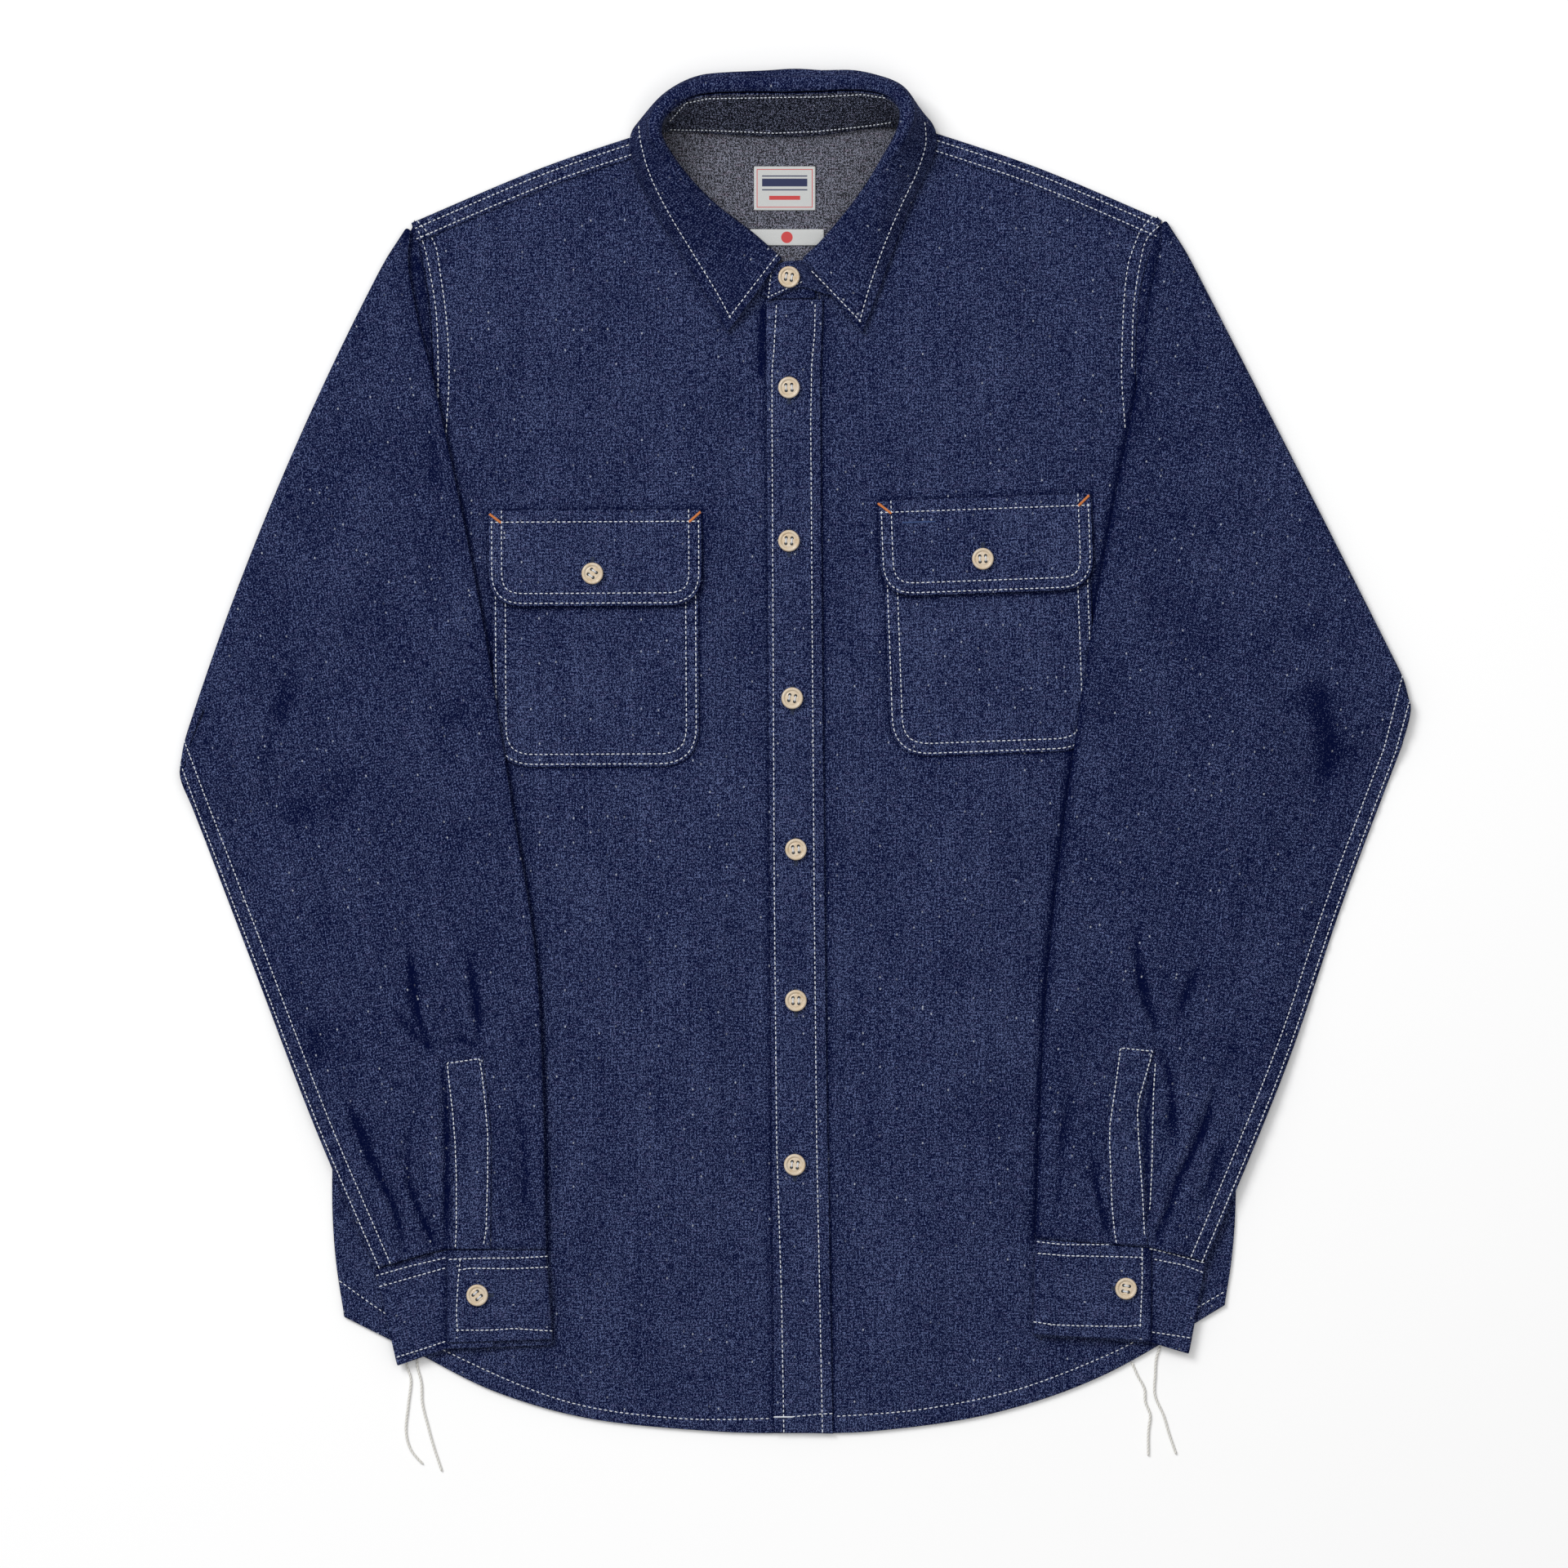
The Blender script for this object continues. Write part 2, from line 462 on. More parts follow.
def spaced(points, count):
    """Evenly spaced points on the smooth curve, count spans of them."""
    shares = np.linspace(0, 1, 401)
    run = run_lengths(spline_points(points, shares))
    return spline_points(points, np.interp(np.linspace(0, run[-1], count + 1), run, shares))


def spaced_by(points, step):
    length = run_lengths(spline_points(points, np.linspace(0, 1, 101)))[-1]
    return spaced(points, max(2, round(length / step)))


def straight_by(points, step):
    """Evenly spaced points on the straight runs between the given points."""
    points = np.asarray(points, float)
    run = run_lengths(points)
    places = np.union1d(np.linspace(0, run[-1], max(2, round(run[-1] / step)) + 1), run)
    return np.column_stack([np.interp(places, run, points[:, k]) for k in range(points.shape[1])])


def closed_by(points, step):
    """Evenly spaced points round a straight-sided outline."""
    return straight_by([*points, points[0]], step)[:-1]


def outline_of(*runs):
    """Runs joined into one outline without repeating shared ends."""
    outline = []
    for point in np.concatenate([np.asarray(run, float) for run in runs]):
        if not outline or np.linalg.norm(point - outline[-1]) > 0.05:
            outline.append(point)
    if np.linalg.norm(outline[0] - outline[-1]) < 0.05:
        outline.pop()
    return np.array(outline)


def shifted(points, distance, closed=False):
    """A run moved to its left by a distance."""
    points = np.asarray(points, float)
    if closed:
        before, after = np.roll(points, 1, 0), np.roll(points, -1, 0)
    else:
        before = points[np.maximum(np.arange(len(points)) - 1, 0)]
        after = points[np.minimum(np.arange(len(points)) + 1, len(points) - 1)]
    along = after - before
    along /= np.linalg.norm(along, axis=1)[:, None]
    return points + distance * np.column_stack([-along[:, 1], along[:, 0]])


def nearest_on(points, line, closed=False):
    """Distance of each point to a line, the length along the line to the nearest place, and the side."""
    line = np.asarray(line, float)
    ends = np.roll(line, -1, 0) if closed else line[1:]
    starts = line if closed else line[:-1]
    best = np.full(len(points), 1e9)
    along = np.zeros(len(points))
    side = np.ones(len(points))
    run = 0.0
    for a, b in zip(starts, ends):
        span = b - a
        length = math.hypot(*span)
        if length < 1e-9:
            continue
        offset = points - a
        t = np.clip(offset @ span / length**2, 0, 1)
        away = np.hypot(offset[:, 0] - t * span[0], offset[:, 1] - t * span[1])
        closer = away < best
        best[closer] = away[closer]
        along[closer] = run + t[closer] * length
        side[closer] = np.sign(span[0] * offset[closer, 1] - span[1] * offset[closer, 0])
        run += length
    return best, along, side


def inside(points, outline):
    result = np.zeros(len(points), bool)
    x, y = points[:, 0], points[:, 1]
    for a, b in zip(outline, np.roll(outline, -1, 0)):
        if a[1] == b[1]:
            continue
        crosses = (a[1] > y) != (b[1] > y)
        result ^= crosses & (x < a[0] + (b[0] - a[0]) * (y - a[1]) / (b[1] - a[1]))
    return result


def smooth_between(start, end, value):
    t = np.clip((value - start) / (end - start), 0, 1)
    return t * t * (3 - 2 * t)


def uneven(values, scale, seed):
    """Smooth uneven numbers from -1 to 1 along a length."""
    rng = np.random.default_rng(seed)
    total = np.zeros(len(values))
    for k in range(5):
        wave = scale * rng.uniform(0.6, 1.9)
        total += np.sin(2 * np.pi * (values / wave + rng.uniform()))
    return np.clip(total / 2.6, -1, 1)


def undulation(points, scale, seed):
    """Smooth uneven numbers from about -1 to 1 over the plane."""
    rng = np.random.default_rng(seed)
    total = np.zeros(len(points))
    for k in range(7):
        angle = rng.uniform(0, np.pi)
        wave = scale * rng.uniform(0.7, 1.8)
        total += np.sin(2 * np.pi * ((points @ (math.cos(angle), math.sin(angle))) / wave + rng.uniform()))
    return total / 3.2


# Relief of the cloth


def crease_height(points, creases):
    """Troughs and ridges. A trough may have a ridge on its right side, or its left where below nought."""
    height = np.zeros(len(points))
    for k, (line, width, top, ridge) in enumerate(creases):
        line = spaced(line, 14) if len(line) > 2 else np.asarray(line, float)
        away, along, side = nearest_on(points, line)
        length = run_lengths(line)[-1]
        taper = np.sin(np.pi * np.clip(along / length, 0.03, 0.97)) ** 0.6
        wander = width * (1 + 0.25 * uneven(along, length / 2.2, 40 + k))
        height += top * taper * np.exp(-((away / (0.62 * wander)) ** 2))
        if ridge:
            beyond = -side * math.copysign(1, ridge) * away - 1.5 * wander
            height += abs(ridge) * taper * np.exp(-((beyond / (0.95 * wander)) ** 2))
    return height * bpy.context.scene.shirt_sizes.crease


def sewn_relief(points, rows, edges=(), seed=1, strength=1.0):
    """Height and shade that sewing gives cloth: grooves, puckers, and the dip where an edge lies on it."""
    pucker = bpy.context.scene.shirt_sizes.pucker / MM * strength
    height, shade = np.zeros(len(points)), np.zeros(len(points))
    for k, row in enumerate([*rows, *edges]):
        row = np.asarray(row, float)
        near = np.all((points > row.min(0) - 14) & (points < row.max(0) + 14), axis=1)
        if not near.any():
            continue
        away, along, _ = nearest_on(points[near], row)
        if k < len(rows):
            ripple = uneven(along, 8.5, seed * 97 + k)
            spread = np.exp(-((away / 4.6) ** 2))
            height[near] += pucker * ripple * spread - 0.24 * np.exp(-((away / 1.0) ** 2))
            shade[near] += 0.5 * np.exp(-((away / 0.9) ** 2)) - 0.5 * ripple * spread
        else:
            dip = np.exp(-((away / 2.0) ** 2))
            height[near] -= 0.2 * dip
            shade[near] += 1.7 * dip
    return height, shade


def body_outlines(step):
    """Outlines of the back and of the two fronts together, with spans of about one step."""
    hem, left_side, right_side = (spaced_by(p, step) for p in (HEM, LEFT_SIDE, RIGHT_SIDE))
    left_armhole, right_armhole = spaced_by(LEFT_ARMHOLE, step), spaced_by(RIGHT_ARMHOLE, step)
    left_shoulder, right_shoulder = spaced_by(LEFT_SHOULDER, step), spaced_by(RIGHT_SHOULDER, step)
    back = outline_of(
        hem, left_side, left_armhole, left_shoulder, spaced_by(BACK_NECK, step), right_shoulder,
        right_armhole, right_side,
    )
    front = outline_of(
        hem, left_side, left_armhole[:-1], shifted(left_shoulder, LAYER), spaced_by(FRONT_NECK, step),
        shifted(right_shoulder, LAYER), right_armhole[1:], right_side,
    )
    return back, front


def fold_height(points, front):
    height = np.zeros(len(points))
    for start, end, width, top in FRONT_FOLDS:
        away = nearest_on(points, [start, end])[0]
        reach = np.clip(away / width, 0, 1)
        height += top * (1 - reach**2) ** 2
    beside = smooth_between(*PLACKET_FLAT, np.abs(points[:, 0]))
    edge = nearest_on(points, front, closed=True)[0]
    edge = np.where(inside(points, front), edge, 0)
    return height * beside * smooth_between(*EDGE_FLAT, edge), beside, edge


def body_relief(points, front):
    """Height of the front's cloth above its flat place."""
    folds, beside, edge = fold_height(points, front)
    fine = crease_height(points, BODY_CREASES) + 0.22 * undulation(points, 46, 5)
    return np.maximum(folds + fine * beside * smooth_between(3, 16, edge), -0.25)


# Meshes


def linked(name, data):
    """An object of some data, put in the scene."""
    obj = bpy.data.objects.new(name, data)
    bpy.context.scene.collection.objects.link(obj)
    return obj


def ring_quads(rings, size, base=0):
    """Faces that join each closed ring of points to the next."""
    return [
        tuple(base + r * size + k % size for r, k in ((s, i), (s, i + 1), (s + 1, i + 1), (s + 1, i)))
        for s in range(rings - 1)
        for i in range(size)
    ]


def facing_out(vertices, faces):
    """The faces of a closed mesh, all turned over if they face inwards."""
    total = 0.0
    for face in faces:
        a = vertices[face[0]]
        for i in range(1, len(face) - 1):
            total += np.dot(a, np.cross(vertices[face[i]], vertices[face[i + 1]]))
    return [tuple(reversed(face)) for face in faces] if total < 0 else faces


def new_mesh(name, vertices, faces, uv, slots, face_slots=None, shade=None):
    """An object from points in millimetres, with its grain map, its shaded seams and materials."""
    mesh = bpy.data.meshes.new(name)
    mesh.from_pydata((np.asarray(vertices) * MM).tolist(), [], [list(map(int, f)) for f in faces])
    layer = mesh.uv_layers.new(name="grain")
    corners = np.empty(len(mesh.loops), np.int32)
    mesh.loops.foreach_get("vertex_index", corners)
    layer.data.foreach_set("uv", np.asarray(uv, np.float32)[corners].ravel())
    for material in slots:
        mesh.materials.append(material)
    if face_slots is not None:
        mesh.polygons.foreach_set("material_index", np.asarray(face_slots, np.int32))
    mesh.polygons.foreach_set("use_smooth", np.ones(len(mesh.polygons), bool))
    seams = np.zeros(len(vertices)) if shade is None else shade
    mesh.attributes.new("seam", "FLOAT", "POINT").data.foreach_set("value", np.asarray(seams, np.float32))
    mesh.update()
    return linked(name, mesh)


def turned_grain(degrees):
    """A function that gives the weft and warp places of points for a turned cut."""
    c, s = math.cos(math.radians(degrees)), math.sin(math.radians(degrees))
    return lambda p: np.column_stack([p[:, 0] * c + p[:, 1] * s, -p[:, 0] * s + p[:, 1] * c])


def fill_outline(outline, extra):
    """Triangles of an outline filled with extra points, and all its points, the outline's first."""
    count = len(outline)
    points = np.vstack([outline, extra])
    ring = [(i, (i + 1) % count) for i in range(count)]
    result = delaunay_2d_cdt([Vector(p) for p in points], ring, [], 1, 1e-5)
    made = np.array([tuple(p) for p in result[0]])
    source = {}
    for new, old in enumerate(result[3]):
        for index in old:
            source[index] = new
    order = [source[i] for i in range(count)]
    return made, [tuple(f) for f in result[2]], order


def lattice_points(outline, step, rows):
    """Points inside an outline: a lattice, and closer lines along the sewn rows."""
    lo, hi = outline.min(0), outline.max(0)
    columns = np.arange(lo[0], hi[0] + step, step)
    lines = np.arange(lo[1], hi[1] + step, step * 0.87)
    grid = np.array([(x + (step / 2 if j % 2 else 0), y) for j, y in enumerate(lines) for x in columns])
    close = [
        shifted(straight_by(row, 2.2), side)
        for row in rows
        for side in (-2.2, -0.9, 0, 0.9, 2.2)
    ]
    if close:
        sewn = np.vstack(close)
        cells = {tuple(c) for c in np.floor(sewn / 2.4).astype(int)}
        grid = grid[[tuple(c) not in cells for c in np.floor(grid / 2.4).astype(int)]]
        _, kept = np.unique(np.round(sewn / 0.7), axis=0, return_index=True)
        grid = np.vstack([grid, sewn[np.sort(kept)]])
    grid = grid[inside(grid, outline)]
    away = nearest_on(grid, outline, closed=True)[0]
    return grid[away > 0.8]


def cloth_sheet(
    name, outline, under, thickness, step, slots, rows=(), grain=None, thicker=None, seed=1, edges=(),
):
    """A sheet with rounded edges. under gives its underside, thicker what is added on top."""
    inner = shifted(outline, thickness / 2, closed=True)
    points, triangles, ring = fill_outline(inner, lattice_points(inner, step, [*rows, *edges]))
    low = under(points)
    relief, shade = sewn_relief(points, rows, edges, seed)
    top = low + thickness + relief
    if thicker is not None:
        top += thicker(points)
    count = len(points)
    vertices = [np.column_stack([points, top]), np.column_stack([points, low])]
    shades = [shade, np.zeros(count)]
    edge_low, edge_top = low[ring], top[ring]
    rings = [list(ring)]
    for angle, dark in ((45, 0.5), (0, 1.0), (-45, 1.0)):
        c, s = math.cos(math.radians(angle)), math.sin(math.radians(angle))
        place = inner + (outline - inner) * c
        height = (edge_low + edge_top) / 2 + (edge_top - edge_low) / 2 * s
        start = sum(len(v) for v in vertices)
        vertices.append(np.column_stack([place, height]))
        shades.append(shade[ring] + dark)
        rings.append(list(range(start, start + len(outline))))
    rings.append([count + i for i in ring])
    faces = list(triangles) + [tuple(count + i for i in reversed(f)) for f in triangles]
    face_slots = [0] * len(triangles) + [1] * len(triangles)
    size = len(outline)
    for upper, lower in zip(rings, rings[1:]):
        for i in range(size):
            j = (i + 1) % size
            faces.append((upper[i], lower[i], lower[j], upper[j]))
            face_slots.append(0)
    vertices = np.vstack(vertices)
    uv = (grain or turned_grain(0))(vertices[:, :2])
    return new_mesh(name, vertices, faces, uv, slots, face_slots, np.concatenate(shades))


def unit(v):
    return v / np.maximum(np.linalg.norm(v, axis=-1, keepdims=True), 1e-9)


def swept_wall(stations, along, thickness, extra=None):
    """A wall swept along stations of mid-surface points, with all its edges rounded.

    Returns its points, faces, each point's place across and along, and 1 for the faces on its right.
    """
    stations, along = np.array(stations, float), unit(np.asarray(along, float))
    radius = thickness / 2
    first = unit(stations[:, 1] - stations[:, 0])
    last = unit(stations[:, -1] - stations[:, -2])
    stations[:, 0] += first * radius
    stations[:, -1] -= last * radius
    last = len(stations) - 1
    places = [(0, -1, angle) for angle in (75, 50, 25, 0)] + [(i, 0, 0) for i in range(1, last)]
    places += [(last, 1, angle) for angle in (0, 25, 50, 75)]
    runs, sign, turn = (np.array(column) for column in zip(*places))
    turn = np.radians(turn)
    mid = stations[runs] + along[runs][:, None] * (sign * radius * (np.sin(turn) - 1))[:, None, None]
    count = mid.shape[1]
    before = mid[:, np.maximum(np.arange(count) - 1, 0)]
    after = mid[:, np.minimum(np.arange(count) + 1, count - 1)]
    across = unit(after - before)
    normal = unit(np.cross(across, along[runs][:, None, :])) * (radius * np.cos(turn))[:, None, None]
    if extra is not None:
        mid = mid + unit(normal) * extra(mid)[..., None]

    def cap(column, outward):
        """The rounded edge that closes one end of the section."""
        turned = ((1, math.pi / 4), (1, math.pi / 2), (-1, math.pi / 4))
        return [
            mid[:, column] + outward * across[:, column] * radius * math.sin(a)
            + outward * side * normal[:, column] * math.cos(a)
            for side, a in turned
        ]

    ring = [*(mid + normal).transpose(1, 0, 2), *cap(-1, 1), *(mid - normal).transpose(1, 0, 2)[::-1], *cap(0, -1)]
    ring = np.array(ring).transpose(1, 0, 2)
    size, length = ring.shape[1], len(ring)
    vertices = ring.reshape(-1, 3)
    faces = ring_quads(length, size)
    sides = [int(count + 2 <= k < 2 * count + 2) for k in range(size)] * (length - 1)
    pairs = [(k, 2 * count + 2 - k) for k in range(count)]
    for base, turn in ((0, 1), ((length - 1) * size, -1)):
        for (a, d), (b, c) in zip(pairs, pairs[1:]):
            faces.append(tuple(base + i for i in (a, d, c, b)[::turn]))
        tail = [pairs[-1][0], *range(count, count + 3), pairs[-1][1]]
        head = [pairs[0][1], *range(2 * count + 3, 2 * count + 6), pairs[0][0]]
        faces.append(tuple(base + i for i in tail[::-turn]))
        faces.append(tuple(base + i for i in head[::-turn]))
    sides += [0] * (len(faces) - len(sides))
    middle = count // 2
    run = run_lengths(mid[:, middle])
    spans = np.linalg.norm(np.diff(mid, axis=1), axis=2)
    width = np.concatenate([np.zeros((length, 1)), np.cumsum(spans, axis=1)], 1)
    face_run = [*width.T, *[width[:, -1] + 1] * 3, *width.T[::-1], *[width[:, 0] - 1] * 3]
    uv = np.stack([np.array(face_run).T, np.repeat(run[:, None], size, 1)], axis=2).reshape(-1, 2)
    return vertices, facing_out(vertices, faces), uv, sides


def surface_of(obj):
    """The mesh as a tree that rays can be sent at."""
    mesh = obj.data
    mesh.calc_loop_triangles()
    places = [v.co.copy() for v in mesh.vertices]
    return BVHTree.FromPolygons(places, [tuple(t.vertices) for t in mesh.loop_triangles], all_triangles=True)


def drop_on(tree, points):
    """Places and normals where points, in millimetres, fall on a surface from above."""
    found = []
    for x, y in points:
        hit, normal, _, _ = tree.ray_cast(Vector((x * MM, y * MM, 0.2)), Vector((0, 0, -1)))
        if hit is not None:
            found.append((hit, normal))
    return found


def heights_on(tree, points, fallback):
    """Heights in millimetres of a surface under points, or the fallback beside it."""
    found = [drop_on(tree, [point]) for point in points]
    return np.array([hits[0][0].z / MM if hits else fallback for hits in found])


def settle(obj, nodes=()):
    """Gives a finished piece its body, its finish and the frame's nodes that it stands for."""
    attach(obj, "root")
    if nodes:
        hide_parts(*nodes)
    return obj


# Materials


class Nodes:
    """The nodes of one tree, added and joined in a few words."""

    def __init__(self, tree):
        self.tree = tree

    def give(self, socket, value):
        if isinstance(value, bpy.types.NodeSocket):
            self.tree.links.new(value, socket)
        else:
            socket.default_value = value

    def add(self, kind, inputs=(), **settings):
        node = self.tree.nodes.new(kind)
        for key, value in settings.items():
            setattr(node, key, value)
        for key, value in dict(inputs).items():
            self.give(node.inputs[key], value)
        return node

    def math(self, operation, a, b=0.0, c=0.0, clamp=False):
        return self.add("ShaderNodeMath", {0: a, 1: b, 2: c}, operation=operation, use_clamp=clamp).outputs[0]


class Shader(Nodes):
    """A material's nodes. Its places are the grain map or the object's own coordinates."""

    def __init__(self, name):
        self.material = bpy.data.materials.new(name)
        self.material.use_nodes = True
        super().__init__(self.material.node_tree)
        self.surface = self.tree.nodes["Principled BSDF"]

    def grain(self):
        return self.add("ShaderNodeUVMap", uv_map="grain").outputs[0]

    def parts(self, vector):
        return self.add("ShaderNodeSeparateXYZ", {0: vector}).outputs[:2]

    def cloud(self, scale, **more):
        place = self.add("ShaderNodeTexCoord").outputs["Object"]
        return self.add("ShaderNodeTexNoise", {"Vector": place, "Scale": scale, "Detail": 2.0, **more}).outputs[0]

    def paint(self, base):
        self.give(self.surface.inputs["Base Color"], base)

    def bump(self, height, strength, distance):
        node = self.add("ShaderNodeBump", {"Height": height, "Strength": strength, "Distance": distance})
        self.give(self.surface.inputs["Normal"], node.outputs[0])

    def mix(self, share, a, b):
        node = self.add("ShaderNodeMix", {"Factor": share}, data_type="RGBA")
        self.give(node.inputs[6], a)
        self.give(node.inputs[7], b)
        return node.outputs[2]

    def scaled(self, vector, x, y, z=1.0):
        return self.add("ShaderNodeMapping", {"Vector": vector, "Scale": (x, y, z)}).outputs[0]

    def noise(self, vector, detail=2.0, roughness=0.5):
        inputs = {"Vector": vector, "Scale": 1.0, "Detail": detail, "Roughness": roughness}
        return self.add("ShaderNodeTexNoise", inputs, noise_dimensions="2D").outputs[0]

    def between(self, value, low, high):
        node = self.add("ShaderNodeMapRange", {"Value": value, "From Min": low, "From Max": high})
        return node.outputs[0]

    def finish(self, **constants):
        for key, value in constants.items():
            self.surface.inputs[key.replace("_", " ")].default_value = value
        return self.material


def rgb(colour, share=1.0):
    return (*[c * share for c in colour], 1.0)


KNOT_WHITE = (0.42, 0.45, 0.52, 1)


def denim(name, dark, light, lines=1, level=0.39, contrast=1.0, streak=1.0, nep=0.75):
    """Twill of dyed warps over pale wefts, with uneven yarns, slubs and small knots.

    lines is 1 where the twill climbs to the right and -1 on the inner face.
    """
    s = Shader(name)
    grain = s.grain()
    u, v = s.parts(grain)

    def yarn(x, y, detail=1.0, roughness=0.5):
        return s.math("SUBTRACT", s.noise(s.scaled(grain, x, y), detail, roughness), 0.5)

    fine = yarn(1.15, 1.05, 1.0, 0.7)
    warps, wefts = yarn(1.25, 0.2, 2.0), yarn(0.17, 1.1, 2.0)
    phase = s.math("ADD", s.math("MULTIPLY", u, 5.56), s.math("MULTIPLY", v, -4.08 * lines))
    wave = s.math("SINE", s.math("ADD", phase, s.math("MULTIPLY", s.math("ADD", warps, wefts), 5.0)))
    tone = s.math("MULTIPLY_ADD", wave, 0.24 * contrast, level)
    for amount, part in (
        (3.1 * contrast, fine), (1.2 * contrast, warps), (0.95 * contrast, wefts),
        (0.40 * streak, yarn(0.34, 0.011, 3.0, 0.6)), (0.30 * streak, yarn(0.03, 0.021, 2.0)),
        (-0.2, s.add("ShaderNodeAttribute", attribute_name="seam").outputs["Fac"]),
    ):
        tone = s.math("MULTIPLY_ADD", part, amount, tone)
    share = s.math("POWER", s.math("MAXIMUM", tone, 0.0), 2.0, clamp=True)
    spots = {"Vector": s.scaled(grain, 0.2, 0.14), "Scale": 1.0}
    cells = s.add("ShaderNodeTexVoronoi", spots, voronoi_dimensions="2D")
    knot = s.between(cells.outputs["Distance"], 0.11, 0.06)
    chance = s.parts(cells.outputs["Color"])[0]
    knots = s.math("MULTIPLY", s.math("MULTIPLY", knot, s.between(chance, 0.90, 0.99)), nep)
    brown = s.between(yarn(0.11, 0.75, 1.0), 0.06, 0.24)
    warm = (light[0] * 1.02, light[1] * 0.80, light[2] * 0.84)
    pale = s.mix(s.math("MULTIPLY", brown, 0.6), rgb(light), rgb(warm))
    woven = s.mix(share, rgb(dark), pale)
    s.paint(s.mix(knots, woven, KNOT_WHITE))
    s.bump(s.math("MULTIPLY_ADD", wave, 0.25, fine), 0.5, 0.00025)
    return s.finish(Roughness=0.95, Specular_IOR_Level=0.04)


def thread_material(name, colour, darker=0.72):
    """Twisted cotton thread: lighter and darker turns, and a little unevenness."""
    s = Shader(name)
    turns = s.cloud(1700.0, Roughness=0.6)
    base = s.mix(s.between(turns, 0.35, 0.65), rgb(colour, darker), rgb(colour))
    stained = rgb((colour[0], colour[1] * 0.97, colour[2] * 0.92))
    s.paint(s.mix(s.math("MULTIPLY", s.cloud(60.0), 0.35), base, stained))
    s.bump(turns, 0.5, 0.00015)
    return s.finish(Roughness=0.82, Specular_IOR_Level=0.3, Sheen_Weight=0.2)


def loose_thread_material(name, colour):
    """The twisted plies of a loose end: dark lines wind round it."""
    s = Shader(name)
    lay = s.grain()
    u, v = s.parts(lay)
    wave = s.math("SINE", s.math("ADD", s.math("MULTIPLY", v, 2.9), s.math("MULTIPLY", u, 2.0)))
    fibres = s.noise(s.scaled(lay, 3.0, 4.0), 3.0, 0.7)
    groove = s.between(s.math("MULTIPLY_ADD", fibres, 0.7, wave), -0.9, 0.2)
    s.paint(s.mix(groove, rgb(colour, 0.58), rgb(colour)))
    s.bump(s.math("ADD", groove, fibres), 0.6, 0.0002)
    return s.finish(Roughness=0.85, Specular_IOR_Level=0.25, Sheen_Weight=0.25)


def button_material(name, colour):
    """Cream urea: soft clouds, fine swirls and a satin surface with small scratches."""
    s = Shader(name)
    cloud, swirl = s.cloud(210.0, Detail=3.0), s.cloud(700.0, Distortion=2.0)
    warm = (colour[0] * 0.93, colour[1] * 0.84, colour[2] * 0.70)
    base = s.mix(s.between(cloud, 0.36, 0.66), rgb(colour), rgb(warm))
    pale = (min(colour[0] * 1.14, 1), min(colour[1] * 1.16, 1), min(colour[2] * 1.2, 1))
    s.paint(s.mix(s.between(swirl, 0.52, 0.7), base, rgb(pale)))
    s.bump(swirl, 0.12, 0.0001)
    s.give(s.surface.inputs["Roughness"], s.math("MULTIPLY_ADD", cloud, 0.2, 0.3))
    return s.finish(Specular_IOR_Level=0.5, Coat_Weight=0.12)


def woven_label(name, colour, motif):
    """A woven tape. motif is 'bands' for a red line and navy bands, 'disc' for a red disc."""
    s = Shader(name)
    lay = s.grain()
    u, v = s.parts(lay)
    ribs = s.math("SINE", s.math("MULTIPLY", v, 14.0))
    wales = s.math("SINE", s.math("MULTIPLY", u, 11.0))
    weave = s.math("MULTIPLY_ADD", s.math("MULTIPLY", ribs, wales), 0.5, 0.5)
    soil = s.noise(s.scaled(lay, 0.16, 0.16), 3.0, 0.6)
    base = s.mix(s.math("MULTIPLY", weave, 0.35), rgb(colour), rgb(colour, 0.80))
    base = s.mix(s.math("MULTIPLY", soil, 0.25), base, rgb((colour[0], colour[1] * 0.96, colour[2] * 0.88)))
    across, up = s.math("ABSOLUTE", u), s.math("ABSOLUTE", v)
    red, navy = (0.50, 0.05, 0.05, 1), (0.016, 0.022, 0.075, 1)
    if motif == "disc":
        away = s.math("SQRT", s.math("ADD", s.math("MULTIPLY", u, u), s.math("MULTIPLY", v, v)))
        base = s.mix(s.between(away, 3.5, 3.3), base, red)
    else:
        def band(value, centre, half):
            return s.between(s.math("ABSOLUTE", s.math("SUBTRACT", value, centre)), half + 0.1, half - 0.1)
        side = s.math("MULTIPLY", band(across, 16.2, 0.22), s.between(up, 11.4, 11.2))
        ends = s.math("MULTIPLY", band(up, 11.1, 0.22), s.between(across, 16.5, 16.3))
        base = s.mix(s.math("MAXIMUM", side, ends), base, red)
        width = s.between(across, 13.4, 13.2)
        bands = s.math("MAXIMUM", band(v, 3.4, 2.3), band(v, -0.9, 0.35))
        bands = s.math("MAXIMUM", bands, band(v, 7.2, 0.35))
        base = s.mix(s.math("MULTIPLY", bands, width), base, navy)
        base = s.mix(s.math("MULTIPLY", band(v, -5.6, 1.2), s.between(across, 9.2, 9.0)), base, red)
    s.paint(base)
    s.bump(weave, 0.5, 0.0001)
    return s.finish(Roughness=0.7, Specular_IOR_Level=0.35, Sheen_Weight=0.15)


